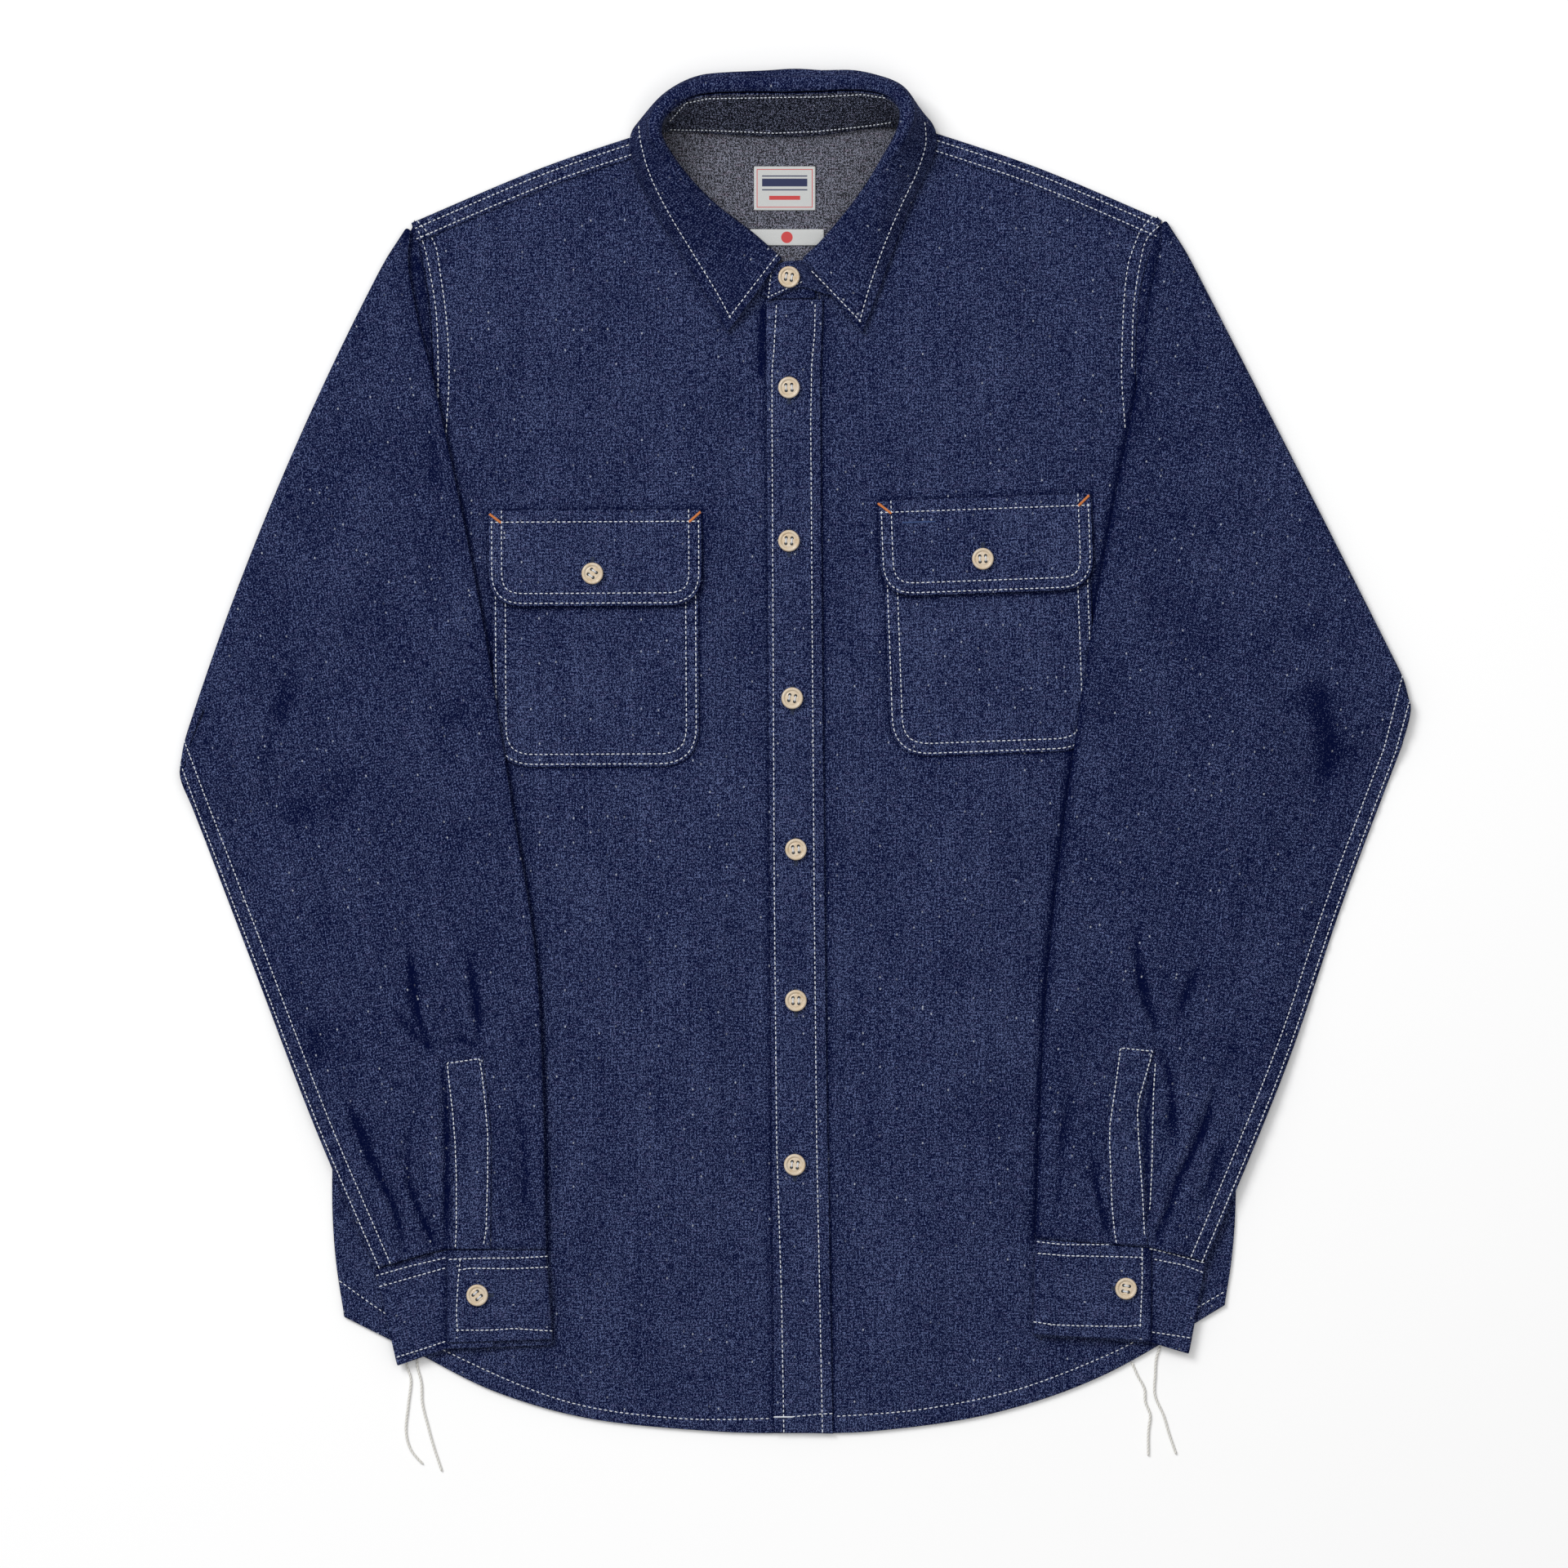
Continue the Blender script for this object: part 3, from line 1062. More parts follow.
def cloth_materials():
    """The denim's face and its inner face, made once."""
    made = bpy.data.materials
    colours = bpy.context.scene.shirt_colours
    if "denim_face" not in made:
        indigo, weft, pale = tuple(colours.indigo), tuple(colours.weft), tuple(colours.inside)
        denim("denim_face", indigo, weft, level=0.35)
        denim("denim_sleeve", indigo, weft, level=0.29)
        denim("denim_patch", indigo, weft, level=0.375)
        denim("denim_collar", indigo, weft, level=0.26)
        denim("denim_inner", tuple(c * 0.06 for c in pale), pale, lines=-1, level=0.56, streak=0.6, nep=0.3)
        bluer = (pale[0] * 0.88, pale[1] * 0.94, pale[2] * 1.1)
        denim("denim_stand", (0.004, 0.005, 0.010), bluer, lines=-1, level=0.12, contrast=1.5, streak=0.5, nep=0.5)
    return made


# Body panels and pockets


def patch_outline(width, top, bottom, corner, step):
    half = width / 2
    turn = np.linspace(0, 1, max(4, round(corner * 1.6 / step)) + 1)[:, None]

    def rounded(a, b, c):
        a, b, c = (np.array(p, float) for p in (a, b, c))
        return a * (1 - turn) ** 2 + 2 * b * turn * (1 - turn) + c * turn**2

    left = rounded((-half, bottom + corner), (-half, bottom), (-half + corner, bottom))
    right = rounded((half - corner, bottom), (half, bottom), (half, bottom + corner))
    sides = straight_by([(half, bottom + corner), (half, top), (-half, top), (-half, bottom + corner)], step)
    base = straight_by([(-half + corner, bottom), (half - corner, bottom)], step)
    return outline_of(left, base, right, sides)


def placed(points, place):
    x, y, turn = place
    c, s = math.cos(math.radians(turn)), math.sin(math.radians(turn))
    points = np.asarray(points, float)
    return points @ np.array([[c, s], [-s, c]]) + (x, y)


def patch_row(width, top, bottom, corner, inset, from_top=0.0):
    """A row sewn at an inset down one side, along the bottom and up the other side."""
    whole = patch_outline(width, top, bottom, corner, 4)
    row = shifted(whole, inset, closed=True)
    half = width / 2
    start = np.argmin(np.hypot(row[:, 0] + half - inset, row[:, 1] - (bottom + corner)))
    stop = np.argmin(np.hypot(row[:, 0] - half + inset, row[:, 1] - (bottom + corner)))
    lower = row[start:stop + 1] if start < stop else np.vstack([row[start:], row[:stop + 1]])
    upper = top - from_top
    return np.vstack([[(-half + inset, upper)], lower, [(half - inset, upper)]])


def pocket_rows(side):
    rows = [patch_row(**POCKET, inset=EDGE_ROW), patch_row(**POCKET, inset=SECOND_ROW)]
    return [placed(row, CHEST_SETS[side]) for row in rows]


def flap_rows(side):
    rows = [
        patch_row(**FLAP, inset=EDGE_ROW, from_top=FLAP_TOP_ROW), patch_row(**FLAP, inset=SECOND_ROW, from_top=1.0),
        [(-FLAP["width"] / 2 + EDGE_ROW, -FLAP_TOP_ROW), (FLAP["width"] / 2 - EDGE_ROW, -FLAP_TOP_ROW)],
    ]
    return [placed(row, CHEST_SETS[side]) for row in rows]


def shoulder_rows():
    return [
        shifted(spaced_by(shoulder, 8), inset)
        for shoulder in (LEFT_SHOULDER, RIGHT_SHOULDER)
        for inset in SHOULDER_ROWS
    ]


def make_back(denims):
    """The back, and the lap of each of its shoulder edges over the front."""
    edge_step, step = BACK_STEPS
    back, _ = body_outlines(edge_step)
    slots = [denims["denim_inner"], denims["denim_face"]]
    armholes = [spaced(LEFT_ARMHOLE, 60), spaced(RIGHT_ARMHOLE, 60)]
    sheet = cloth_sheet("back", back, lambda p: np.zeros(len(p)), CLOTH, step, slots, edges=armholes)
    parts = [sheet]
    for shoulder in (LEFT_SHOULDER, RIGHT_SHOULDER):
        line = spaced_by(shoulder, 3)
        profile = [(0.55, 0.9), (0.55, 1.9), (0.75, 2.6), (1.4, 3.1)]
        profile += [(d, 3.1) for d in np.arange(2.2, SHOULDER_LAP, 0.7)]
        rails = [np.column_stack([shifted(line, d), np.full(len(line), z)]) for d, z in profile]
        stations = np.stack(rails, axis=1)
        along = np.gradient(line, axis=0)
        along = np.column_stack([along, np.zeros(len(line))])
        vertices, faces, _, _ = swept_wall(stations, along, CLOTH)
        relief, shade = sewn_relief(vertices[:, :2], shoulder_rows(), (), 3)
        vertices[:, 2] += 0.5 * relief * (vertices[:, 2] > 3.2)
        grain = turned_grain(0)(vertices[:, :2])
        parts.append(new_mesh("lap", vertices, faces, grain, [denims["denim_face"]] * 2, None, shade))
    return join("back", parts)


def join(name, parts):
    """One object from several, with their materials kept."""
    first = parts[0]
    with bpy.context.temp_override(active_object=first, selected_editable_objects=parts, selected_objects=parts):
        bpy.ops.object.join()
    first.name = name
    first.data.name = name
    return first


def front_half(front, left):
    """The outline of one front: the part of both on its own side of the split."""
    split, side = (FRONT_SPLIT + SEAM_GAP, 1) if left else (FRONT_SPLIT, -1)
    kept = []
    for a, b in zip(front, np.roll(front, -1, 0)):
        in_a, in_b = side * (a[0] - split) >= 0, side * (b[0] - split) >= 0
        if in_a:
            kept.append(a)
        if in_a != in_b:
            kept.append(a + (b - a) * ((split - a[0]) / (b[0] - a[0])))
    result = []
    for a, b in zip(kept, [*kept[1:], kept[0]]):
        result += list(straight_by([a, b], 4)[:-1]) if np.linalg.norm(b - a) > 40 else [a]
    return outline_of(result)


def make_fronts(step, denims):
    _, front = body_outlines(step)
    hem = spaced_by(HEM, 10)
    slots = [denims["denim_face"], denims["denim_inner"]]

    def under(points):
        return FRONT_BOTTOM + body_relief(points, front)

    def hem_welt(points):
        away = nearest_on(points, hem)[0]
        return 0.42 * smooth_between(9.6, 7.8, away)

    made = []
    for side, rows in (("right", RIGHT_ARMHOLE_ROWS), ("left", LEFT_ARMHOLE_ROWS)):
        sewn = [*rows, HEM_ROW]
        half = front_half(front, side == "left")
        lying = [np.array(PLACKET_EDGES[:5] if side == "right" else PLACKET_EDGES[5:], float)]
        if side == "right":
            lying += [straight_by(GAP_UNDER_COLLAR, 3)] * 2
        for patch in (POCKET, FLAP):
            lying.append(placed(patch_outline(**patch, step=5), CHEST_SETS[side]))
        edge = shifted(spaced(SLEEVES[side]["inner"], 60), SLEEVES[side]["outward"] * -0.4)
        lying += [edge] * (2 if side == "left" else 1)
        made.append(cloth_sheet(
            f"front_{side}_panel", half, under, CLOTH, step, slots, sewn, None, hem_welt, 11, lying,
        ))
    return made


def make_placket(denims):
    outline = closed_by(PLACKET_EDGES, 3.4)

    slots = [denims["denim_patch"], denims["denim_inner"]]
    return cloth_sheet(
        "placket_band", outline, lambda p: np.full(len(p), PATCH_BOTTOM), PLACKET_THICKNESS, 3.4, slots,
        PLACKET_ROWS, thicker=lambda p: 0.16 * undulation(p * (1, 0.5), 30, 9), seed=4,
    )


def make_pocket(side, denims):
    """One chest pocket and its flap, lifted off the pocket towards its lower edge."""
    _, front = body_outlines(POCKET_STEP)
    place = CHEST_SETS[side]
    slots = [denims["denim_patch"], denims["denim_inner"]]
    grain = turned_grain(place[2])
    seed = 21 if side == "right" else 31

    def on_front(points):
        return PATCH_BOTTOM + body_relief(points, front)

    def flap_under(points):
        down = place[1] - points[:, 1]
        lift = FLAP_LIFT["clearance"] * smooth_between(FLAP_LIFT["start"], FLAP_LIFT["clear"], down)
        lift += FLAP_LIFT["rise"] * smooth_between(FLAP_LIFT["clear"], FLAP_LIFT["end"], down)
        return on_front(points) + lift

    pocket = cloth_sheet(
        f"chest_pocket_{side}", placed(patch_outline(**POCKET, step=3), place), on_front, CLOTH, POCKET_STEP, slots,
        pocket_rows(side), grain, lambda p: 0.14 * undulation(p, 26, seed), seed,
        [placed(patch_row(**FLAP, inset=-0.3), place)],
    )
    flap = cloth_sheet(
        f"pocket_flap_{side}", placed(patch_outline(**FLAP, step=3), place), flap_under, CLOTH, POCKET_STEP,
        slots, flap_rows(side), grain, lambda p: 0.16 * undulation(p, 24, seed + 1), seed + 2,
    )
    return pocket, flap


# Collar


def refined_rows(rows):
    """The rows with one halfway between each pair, on smooth lines through them, three times over."""
    for _ in range(3):
        last = len(rows) - 1
        fine = [rows[0]]
        for i in range(last):
            a, b, c, d = rows[max(i - 1, 0)], rows[i], rows[i + 1], rows[min(i + 2, last)]
            fine += [(9 * (b + c) - a - d) / 16, c]
        rows = np.array(fine)
    return rows


def collar_frames(rows):
    foot, roll, fold = rows[:, :3], rows[:, 3:6], rows[:, 6]
    at = np.arange(len(rows))
    along = unit(roll[np.minimum(at + 1, at[-1])] - roll[np.maximum(at - 1, 0)])
    up = unit(roll - foot)
    out = unit(np.cross(up, along))
    crest = roll - up * (fold + FOLD_BACK)[:, None]
    return foot, up, out, along, crest, fold


def make_stand(denims):
    plain = np.array([(*foot, *roll, fold) for foot, roll, fold, _, _ in COLLAR])
    plain[-2:, :3] = STAND_FRONT_FEET
    plain = refined_rows(plain)
    foot, _, out, along, crest, _ = collar_frames(plain)
    shares = np.linspace(0, 1, 13)
    stations = foot[:, None] + (crest - foot)[:, None] * shares[None, :, None]
    ripple = 0.22 * uneven(np.arange(len(plain)) * 2.0, 26, 3)
    bend = np.sin(np.pi * shares)
    stations += out[:, None] * (ripple[:, None] * bend[None, :])[..., None]
    vertices, faces, uv, sides = swept_wall(stations, along, STAND_THICKNESS)
    slots = [denims["denim_collar"], denims["denim_stand"]]
    _, shade = sewn_relief(vertices[:, :2], [*STAND_ROWS, *TAB_ROWS], (), 19)
    return new_mesh("neck_stand", vertices, faces, uv[:, ::-1], slots, sides, shade)


def make_leaf(denims):
    rows = [(*foot, *roll, fold, *belly, *edge) for foot, roll, fold, belly, edge in COLLAR if edge]
    rows = refined_rows(np.array(rows))
    _, up, out, along, crest, fold = collar_frames(rows)
    start = SEAM_GAP + LEAF_THICKNESS / 2
    turn = np.radians(np.linspace(0, 180, 11))
    rise = start + fold[:, None] * np.sin(turn)
    offset = fold[:, None] * (1 - np.cos(turn))
    arc = crest[:, None] + up[:, None] * rise[..., None] + out[:, None] * offset[..., None]
    turned = arc[:, -1]
    belly, edge = rows[:, 7:10], rows[:, 10:]
    pull = belly * 2 - (turned + edge) / 2
    t = np.linspace(0, 1, 23)[1:, None]
    drape = turned[:, None] * (1 - t) ** 2 + 2 * pull[:, None] * t * (1 - t) + edge[:, None] * t**2
    stations = np.concatenate([arc, drape], axis=1)

    leaf_rows = [spaced(r, 12) for r in LEAF_ROWS]

    def soft(mid):
        flat = mid.reshape(-1, 3)
        height = 0.3 * undulation(flat[:, :2] + flat[:, 2:] * 0.7, 34, 17)
        height += sewn_relief(flat[:, :2], leaf_rows, (), 6)[0] * (flat[:, 2] < 22)
        fade = np.ones(mid.shape[1])
        fade[:8] = 0.2
        return height.reshape(mid.shape[:2]) * fade

    vertices, faces, uv, _ = swept_wall(stations, along, LEAF_THICKNESS, soft)
    _, shade = sewn_relief(vertices[:, :2], leaf_rows, (), 6)
    edge_shade = np.exp(-((uv[:, 0] - uv[:, 0].max(initial=0)) / 3.0) ** 2) * 0.3
    shade = shade * (vertices[:, 2] < 22) + edge_shade + 0.45 * smooth_between(5, -25, vertices[:, 0])
    return new_mesh("collar_leaves", vertices, faces, uv[:, ::-1], [denims["denim_collar"]], None, shade)


# Sleeves


def along_run(points, shares):
    place = np.clip(shares, 0, 1) * (len(points) - 1)
    index = np.arange(len(points))
    return np.column_stack([np.interp(place, index, points[:, 0]), np.interp(place, index, points[:, 1])])


def sleeve_geometry(spec):
    """The numbers that every station of a sleeve is worked out from."""
    shoulder, elbow = np.array(spec["shoulder"], float), np.array(spec["elbow"], float)
    line = elbow - shoulder
    outwards = np.array([-line[1], line[0]]) / np.linalg.norm(line)
    if outwards[0] * spec["outward"] < 0:
        outwards = -outwards

    def fold_point(s):
        s = np.asarray(s, float)[:, None]
        return shoulder + line * s + outwards * 4 * spec["bulge"] * s * (1 - s)

    armhole = spaced(RIGHT_ARMHOLE, ARMHOLE_POINTS)
    if spec["outward"] > 0:
        armhole = spaced(LEFT_ARMHOLE, ARMHOLE_POINTS)[::-1]
    armhole = shifted(armhole, spec["outward"] * 0.2 * SEAM_GAP)
    return fold_point, np.linalg.norm(line), outwards, armhole


def outer_edge(side):
    """The lower edge of the part on top, where the underarm seam runs."""
    spec = SLEEVES[side]
    fold_point, _, outwards, _ = sleeve_geometry(spec)
    start = fold_point([1.0])[0] - outwards * (FOLD_RADIUS + TUBE_HALF)
    return [tuple(start), *spec["outer"]]


def sleeve_rows(side):
    edge = spaced_by(outer_edge(side), 12)
    inwards = SLEEVES[side]["outward"]
    rows = [
        np.vstack([[start], shifted(edge, -inwards * inset)[3:]])
        for start, inset in zip(SLEEVES[side]["row_starts"], UNDERARM_ROWS)
    ]
    if side == "left":
        rows.append(np.array(BINDING_ROW))
    return rows


def across_shares(length, half):
    """Places across a sleeve as shares of its width, close together at the sewn edge."""
    near = 1 - SLEEVE_EDGE_STEPS / length
    rest = np.linspace(half / length, near[0], SLEEVE_ACROSS - len(near), endpoint=False)
    return np.concatenate([rest, near, [1 - half * 0.999 / length]])


def sleeve_stations(side, step):
    """The sleeve's sections from the armhole to the fold, round it and down to the cuff.

    Each is a width, a half height, a function that places points, and the share of the way
    from the fold to the cuff. The sleeve's two long edges and its armhole come with them.
    """
    spec = SLEEVES[side]
    fold_point, fold_length, outwards, armhole = sleeve_geometry(spec)
    bend_start = -(FOLD_RADIUS + TUBE_HALF)
    stations = []
    for share in np.linspace(0, 1, 9)[:-1]:
        def place(s, n, share=share):
            flat = along_run(armhole, s) * (1 - share) + (fold_point(s) + outwards * bend_start) * share
            return flat, TUBE_HALF + n
        stations.append((fold_length, TUBE_HALF, place, 0))
    for angle in np.radians(np.linspace(-90, 90, 15)):
        def place(s, n, angle=angle):
            reach = FOLD_RADIUS - n
            flat = fold_point(s) + outwards * (bend_start + reach * np.cos(angle))[:, None]
            return flat, TUBE_HALF + FOLD_RADIUS + reach * np.sin(angle)
        stations.append((fold_length, TUBE_HALF, place, 0))
    inner_line = [tuple(fold_point([0.0])[0] + outwards * bend_start), *spec["inner"]]
    count = round(SLEEVE_RUN / step)
    inner, outer = spaced(inner_line, count), spaced(outer_edge(side), count)
    for i in range(1, count + 1):
        v = i / count
        a, b = inner[i], outer[i]
        half = TUBE_HALF + (CUFF_END_HALF - TUBE_HALF) * smooth_between(0.5, 1, v)
        bow = smooth_between(0.75, 1, v)

        def place(s, n, a=a, b=b, bow=bow, half=half):
            s = np.asarray(s)
            rise = bow * np.interp(s, *np.transpose(spec["end_line"]))
            return a + (b - a) * s[:, None] + np.column_stack([np.zeros(len(s)), rise]), half - n
        stations.append((np.linalg.norm(b - a), half, place, v))
    return stations, inner, outer, armhole


def make_sleeve(side, step, denims):
    """The sleeve as two skins, outside and inside. The last section comes with it, for the cuff."""
    spec = SLEEVES[side]
    stations, inner, outer, armhole = sleeve_stations(side, step)
    back, _ = body_outlines(20)
    triangle = np.array([spec["shoulder"], spec["elbow"], armhole[-1]])
    sewn = [straight_by(row, 6) for row in sleeve_rows(side)]
    cap_line = shifted(armhole, spec["outward"] * 3.5)
    skins, shades = [], []
    for inset in (0.0, CLOTH):
        flats, heights, drops, lifts = [], [], [], []
        for length, half, place, v in stations:
            offset = half - inset
            shares = across_shares(length, half)
            arc = np.radians(np.array([60, 30, 0, -30, -60]))
            s = np.concatenate([
                shares, 1 - (half - offset * np.cos(arc)) / length, shares[::-1],
                (half - offset * np.cos(arc[::-1])) / length,
            ])
            n = np.concatenate([
                np.full(len(shares), offset), offset * np.sin(arc), np.full(len(shares), -offset),
                offset * np.sin(arc[::-1]),
            ])
            flat, height = place(s, n)
            tip = np.exp(-((np.hypot(*(flat - spec["shoulder"]).T) / 11) ** 2))[:, None]
            flat = flat + tip * (-spec["outward"] * 4.4, 4.2)
            if v > 0:
                for centre, half_width, start, rise in spec["pleats"]:
                    reach = np.clip(np.abs(s - centre) / half_width, 0, 1)
                    height = height + (n < 0) * rise * (1 - reach) ** 1.25 * smooth_between(start, 1, v)
                lifts.append(np.clip(-n / max(offset, 0.01), 0, 1))
                drops.append(place(np.clip(s, half / length, 1 - half / length), n)[0])
            else:
                corner = np.exp(-((np.hypot(*(flat - spec["elbow"]).T) / 7) ** 2))[:, None]
                flat = flat + corner * (-spec["outward"] * 0.4, -6.0)
                lifts.append(np.zeros(len(s)))
                drops.append(flat)
            flats.append(flat)
            heights.append(height)
        flats, heights, lifts = np.array(flats), np.array(heights), np.array(lifts)
        along = np.array([v for *_, v in stations])
        top = along > 0
        ring = flats.shape[1]
        under = np.array(drops).reshape(-1, 2)
        off_body = np.minimum(nearest_on(under, back, True)[0], nearest_on(under, triangle, True)[0])
        off_body[inside(under, back) | inside(under, triangle)] = 0
        drop = smooth_between(*SLEEVE_DROP, off_body).reshape(flats.shape[:2])
        heights[top] += SLEEVE_ON_BODY * (1 - drop[top])
        cells = flats.reshape(-1, 2)
        fine = crease_height(cells, spec["creases"])
        fine += 0.30 * undulation(cells, 44, 61 if side == "right" else 71)
        inner_away = nearest_on(cells, inner)[0]
        edge_away = np.minimum(nearest_on(cells, outer)[0], inner_away)
        fine *= smooth_between(1, 14, edge_away)
        relief, shade = sewn_relief(cells, sewn, (), 8 if side == "right" else 9)
        shade += 4.4 * np.clip(-fine - 0.2, 0, 0.8) - 0.45 * np.clip(fine - 0.4, 0, 1.2)
        fine = np.clip(fine + relief, -1.3, 2.6)
        start_in = smooth_between(0.0, 0.06, along)[:, None]
        shade += (1.6 if side == "left" else 0.8) * np.exp(-((inner_away / 2.4) ** 2))
        heights += fine.reshape(heights.shape) * lifts * start_in
        shade = shade.reshape(heights.shape) * start_in
        cap, cap_shade = sewn_relief(cells, [cap_line], (), 27, 2.2)
        cap_away = nearest_on(cells, cap_line)[0]
        low = ~top[:, None]
        heights += np.maximum(cap, -0.2).reshape(heights.shape) * low * (heights > TUBE_HALF) * 0.7
        shade += (2.4 * cap_shade + 1.3 * np.exp(-((cap_away / 9.0) ** 2))).reshape(heights.shape) * low
        shades.append(shade.ravel())
        skins.append(np.dstack([flats, heights]))
    vertices = np.vstack([skin.reshape(-1, 3) for skin in skins])
    last, second = (len(stations) - 1) * ring, len(stations) * ring
    faces = ring_quads(len(stations), ring)
    face_slots = [0] * len(faces) + [1] * len(faces) + [0] * (2 * ring)
    faces += [(a, d, c, b) for a, b, c, d in ring_quads(len(stations), ring, second)]
    for k in range(ring):
        m = (k + 1) % ring
        faces.append((k, second + k, second + m, m))
        faces.append((last + k, last + m, second + last + m, second + last + k))
    faces = facing_out(vertices, faces)
    uv = turned_grain(spec["grain"])(vertices[:, :2])
    slots = [denims["denim_sleeve"], denims["denim_inner"]]
    obj = new_mesh(f"folded_sleeve_{side}", vertices, faces, uv, slots, face_slots, np.concatenate(shades))
    return obj, stations[-1]


def cuff_path(width, lap):
    """The spiral of the cuff across the wrist: places across, heights and how far it slips."""
    low = SLEEVE_ON_BODY + CUFF_WALL / 2
    middle, high = low + CUFF_LEVEL, low + 2 * CUFF_LEVEL
    path = []

    def straight(start, end, z, slip):
        for x in np.linspace(start, end, max(2, round(abs(end - start) / 2.6)), endpoint=False):
            path.append((x, z, slip))

    def arc(centre, start, end, first, slips):
        radius = abs(end - start) / 2
        for share in np.linspace(0, 1, 11):
            angle = first + math.pi * share
            path.append((
                centre + radius * math.cos(angle), (start + end) / 2 + radius * math.sin(angle),
                share if slips else 1.0,
            ))

    inner_centre = CUFF_WALL / 2 + (high - low) / 2
    outer_centre = width - CUFF_WALL / 2 - (middle - low) / 2
    straight(lap, inner_centre, high, 0.0)
    arc(inner_centre, high, low, math.pi / 2, True)
    straight(inner_centre + 2.6, outer_centre, low, 1.0)
    arc(outer_centre, low, middle, -math.pi / 2, False)
    straight(outer_centre - 2.6, lap - CUFF_TUCK, middle, 1.0)
    path.append((lap - CUFF_TUCK, middle, 1.0))
    return path


def make_cuff(side, end, denims):
    spec = SLEEVES[side]
    width, _, place, _ = end
    corners = np.array(spec["cuff_bottom"], float)
    lap_share = spec["lap"] / width
    path = np.array(cuff_path(width, spec["lap"]))
    share = path[:, 0] / width
    top = place(share, np.zeros(len(share)))[0] - (0, SEAM_GAP)
    on_lap = share <= lap_share + 1e-6
    t = np.where(on_lap, share / lap_share, (share - lap_share) / (1 - lap_share))[:, None]
    bottom = np.where(
        on_lap[:, None], corners[0] * (1 - t) + corners[1] * t, corners[1] * (1 - t) + corners[2] * t,
    )
    bottom[:, 1] -= path[:, 2] * spec["slip"]
    down = np.linspace(0, 1, 24)
    flat = top[None] * (1 - down)[:, None, None] + bottom[None] * down[:, None, None]
    stations = np.dstack([flat, np.repeat(path[None, :, 1], len(down), 0)])
    along = np.repeat(np.mean(stations[-1] - stations[0], axis=0)[None], len(down), 0)
    sewn = [straight_by(row, 3) for row in CUFF_ROWS[side]]
    seed, swell_seed = (12, 81) if side == "right" else (13, 91)

    def soft(mid):
        cells = mid.reshape(-1, 3)
        height = 0.22 * undulation(cells[:, :2], 24, swell_seed)
        relief = sewn_relief(cells[:, :2], sewn, (), seed)[0]
        upper = cells[:, 2] > SLEEVE_ON_BODY + CUFF_LEVEL
        return (-(height * 0.6 + relief) * upper).reshape(mid.shape[:2])

    vertices, faces, uv, _ = swept_wall(stations, along, CUFF_WALL, soft)
    _, shade = sewn_relief(vertices[:, :2], sewn, [straight_by(CUFF_LAPS[side], 3)], seed)
    return new_mesh(f"cuff_band_{side}", vertices, faces, uv[:, ::-1], [denims["denim_patch"]], None, shade)


def gauntlet_rows(side):
    return [straight_by(SLEEVES[side]["gauntlet_row"], 4)]


def make_gauntlet(side, sleeve, denims):
    outline = closed_by(SLEEVES[side]["gauntlet"], 2.6)
    tree = surface_of(sleeve)
    centre = outline.mean(0)

    def under(points):
        drawn = centre + (points - centre) * 0.985
        return heights_on(tree, drawn, 8.0) + SEAM_GAP * 0.6

    grain = turned_grain(2 if side == "right" else -4)
    slots = [denims["denim_patch"], denims["denim_inner"]]
    return cloth_sheet(
        f"gauntlet_{side}", outline, under, GAUNTLET_THICKNESS, 2.8, slots, gauntlet_rows(side), grain,
        lambda p: 0.12 * undulation(p, 20, 14), 15,
    )


# Buttons, labels and threads


def lathe(name, profile, sides, centres, finishes, slot):
    """Turned solids round their centres, from a profile of radii and heights in millimetres."""
    points, faces = [], []
    for x, y in centres:
        rings = []
        for radius, z in profile:
            size = sides if radius else 1
            rings.append(range(len(points), len(points) + size))
            for angle in np.arange(size) * 2 * math.pi / sides:
                points.append((x + radius * math.cos(angle), y + radius * math.sin(angle), z))
        for low, high in zip(rings, rings[1:]):
            for i in range(sides):
                corners = [r[k % len(r)] for r, k in ((low, i), (low, i + 1), (high, i + 1), (high, i))]
                faces.append(tuple(dict.fromkeys(corners)))
        faces += [cap for cap in (tuple(reversed(rings[0])), tuple(rings[-1])) if len(cap) > 1]
    mesh = bpy.data.meshes.new(name)
    mesh.from_pydata((np.array(points) * MM).tolist(), [], faces)
    for finish in finishes:
        mesh.materials.append(finish)
    mesh.polygons.foreach_set("material_index", np.full(len(faces), slot, np.int32))
    return linked(name, mesh)


def drilled_button(finishes):
    """The turned button with a rim, a groove and four holes, on its own base."""
    blank = lathe("button_blank", BUTTON_PROFILE, 56, [(0, 0)], finishes, 0)
    h = BUTTON_HOLES
    drill = lathe("button_drill", DRILL_PROFILE, 14, [(h, h), (-h, h), (-h, -h), (h, -h)], finishes, 2)
    cut = blank.modifiers.new("holes", "BOOLEAN")
    cut.operation, cut.solver, cut.object = "DIFFERENCE", "EXACT", drill
    ready = bpy.data.meshes.new_from_object(blank.evaluated_get(bpy.context.evaluated_depsgraph_get()))
    bpy.data.objects.remove(blank)
    bpy.data.objects.remove(drill)
    ready.polygons.foreach_set("use_smooth", np.ones(len(ready.polygons), bool))
    ready.set_sharp_from_angle(angle=math.radians(38))
    return ready


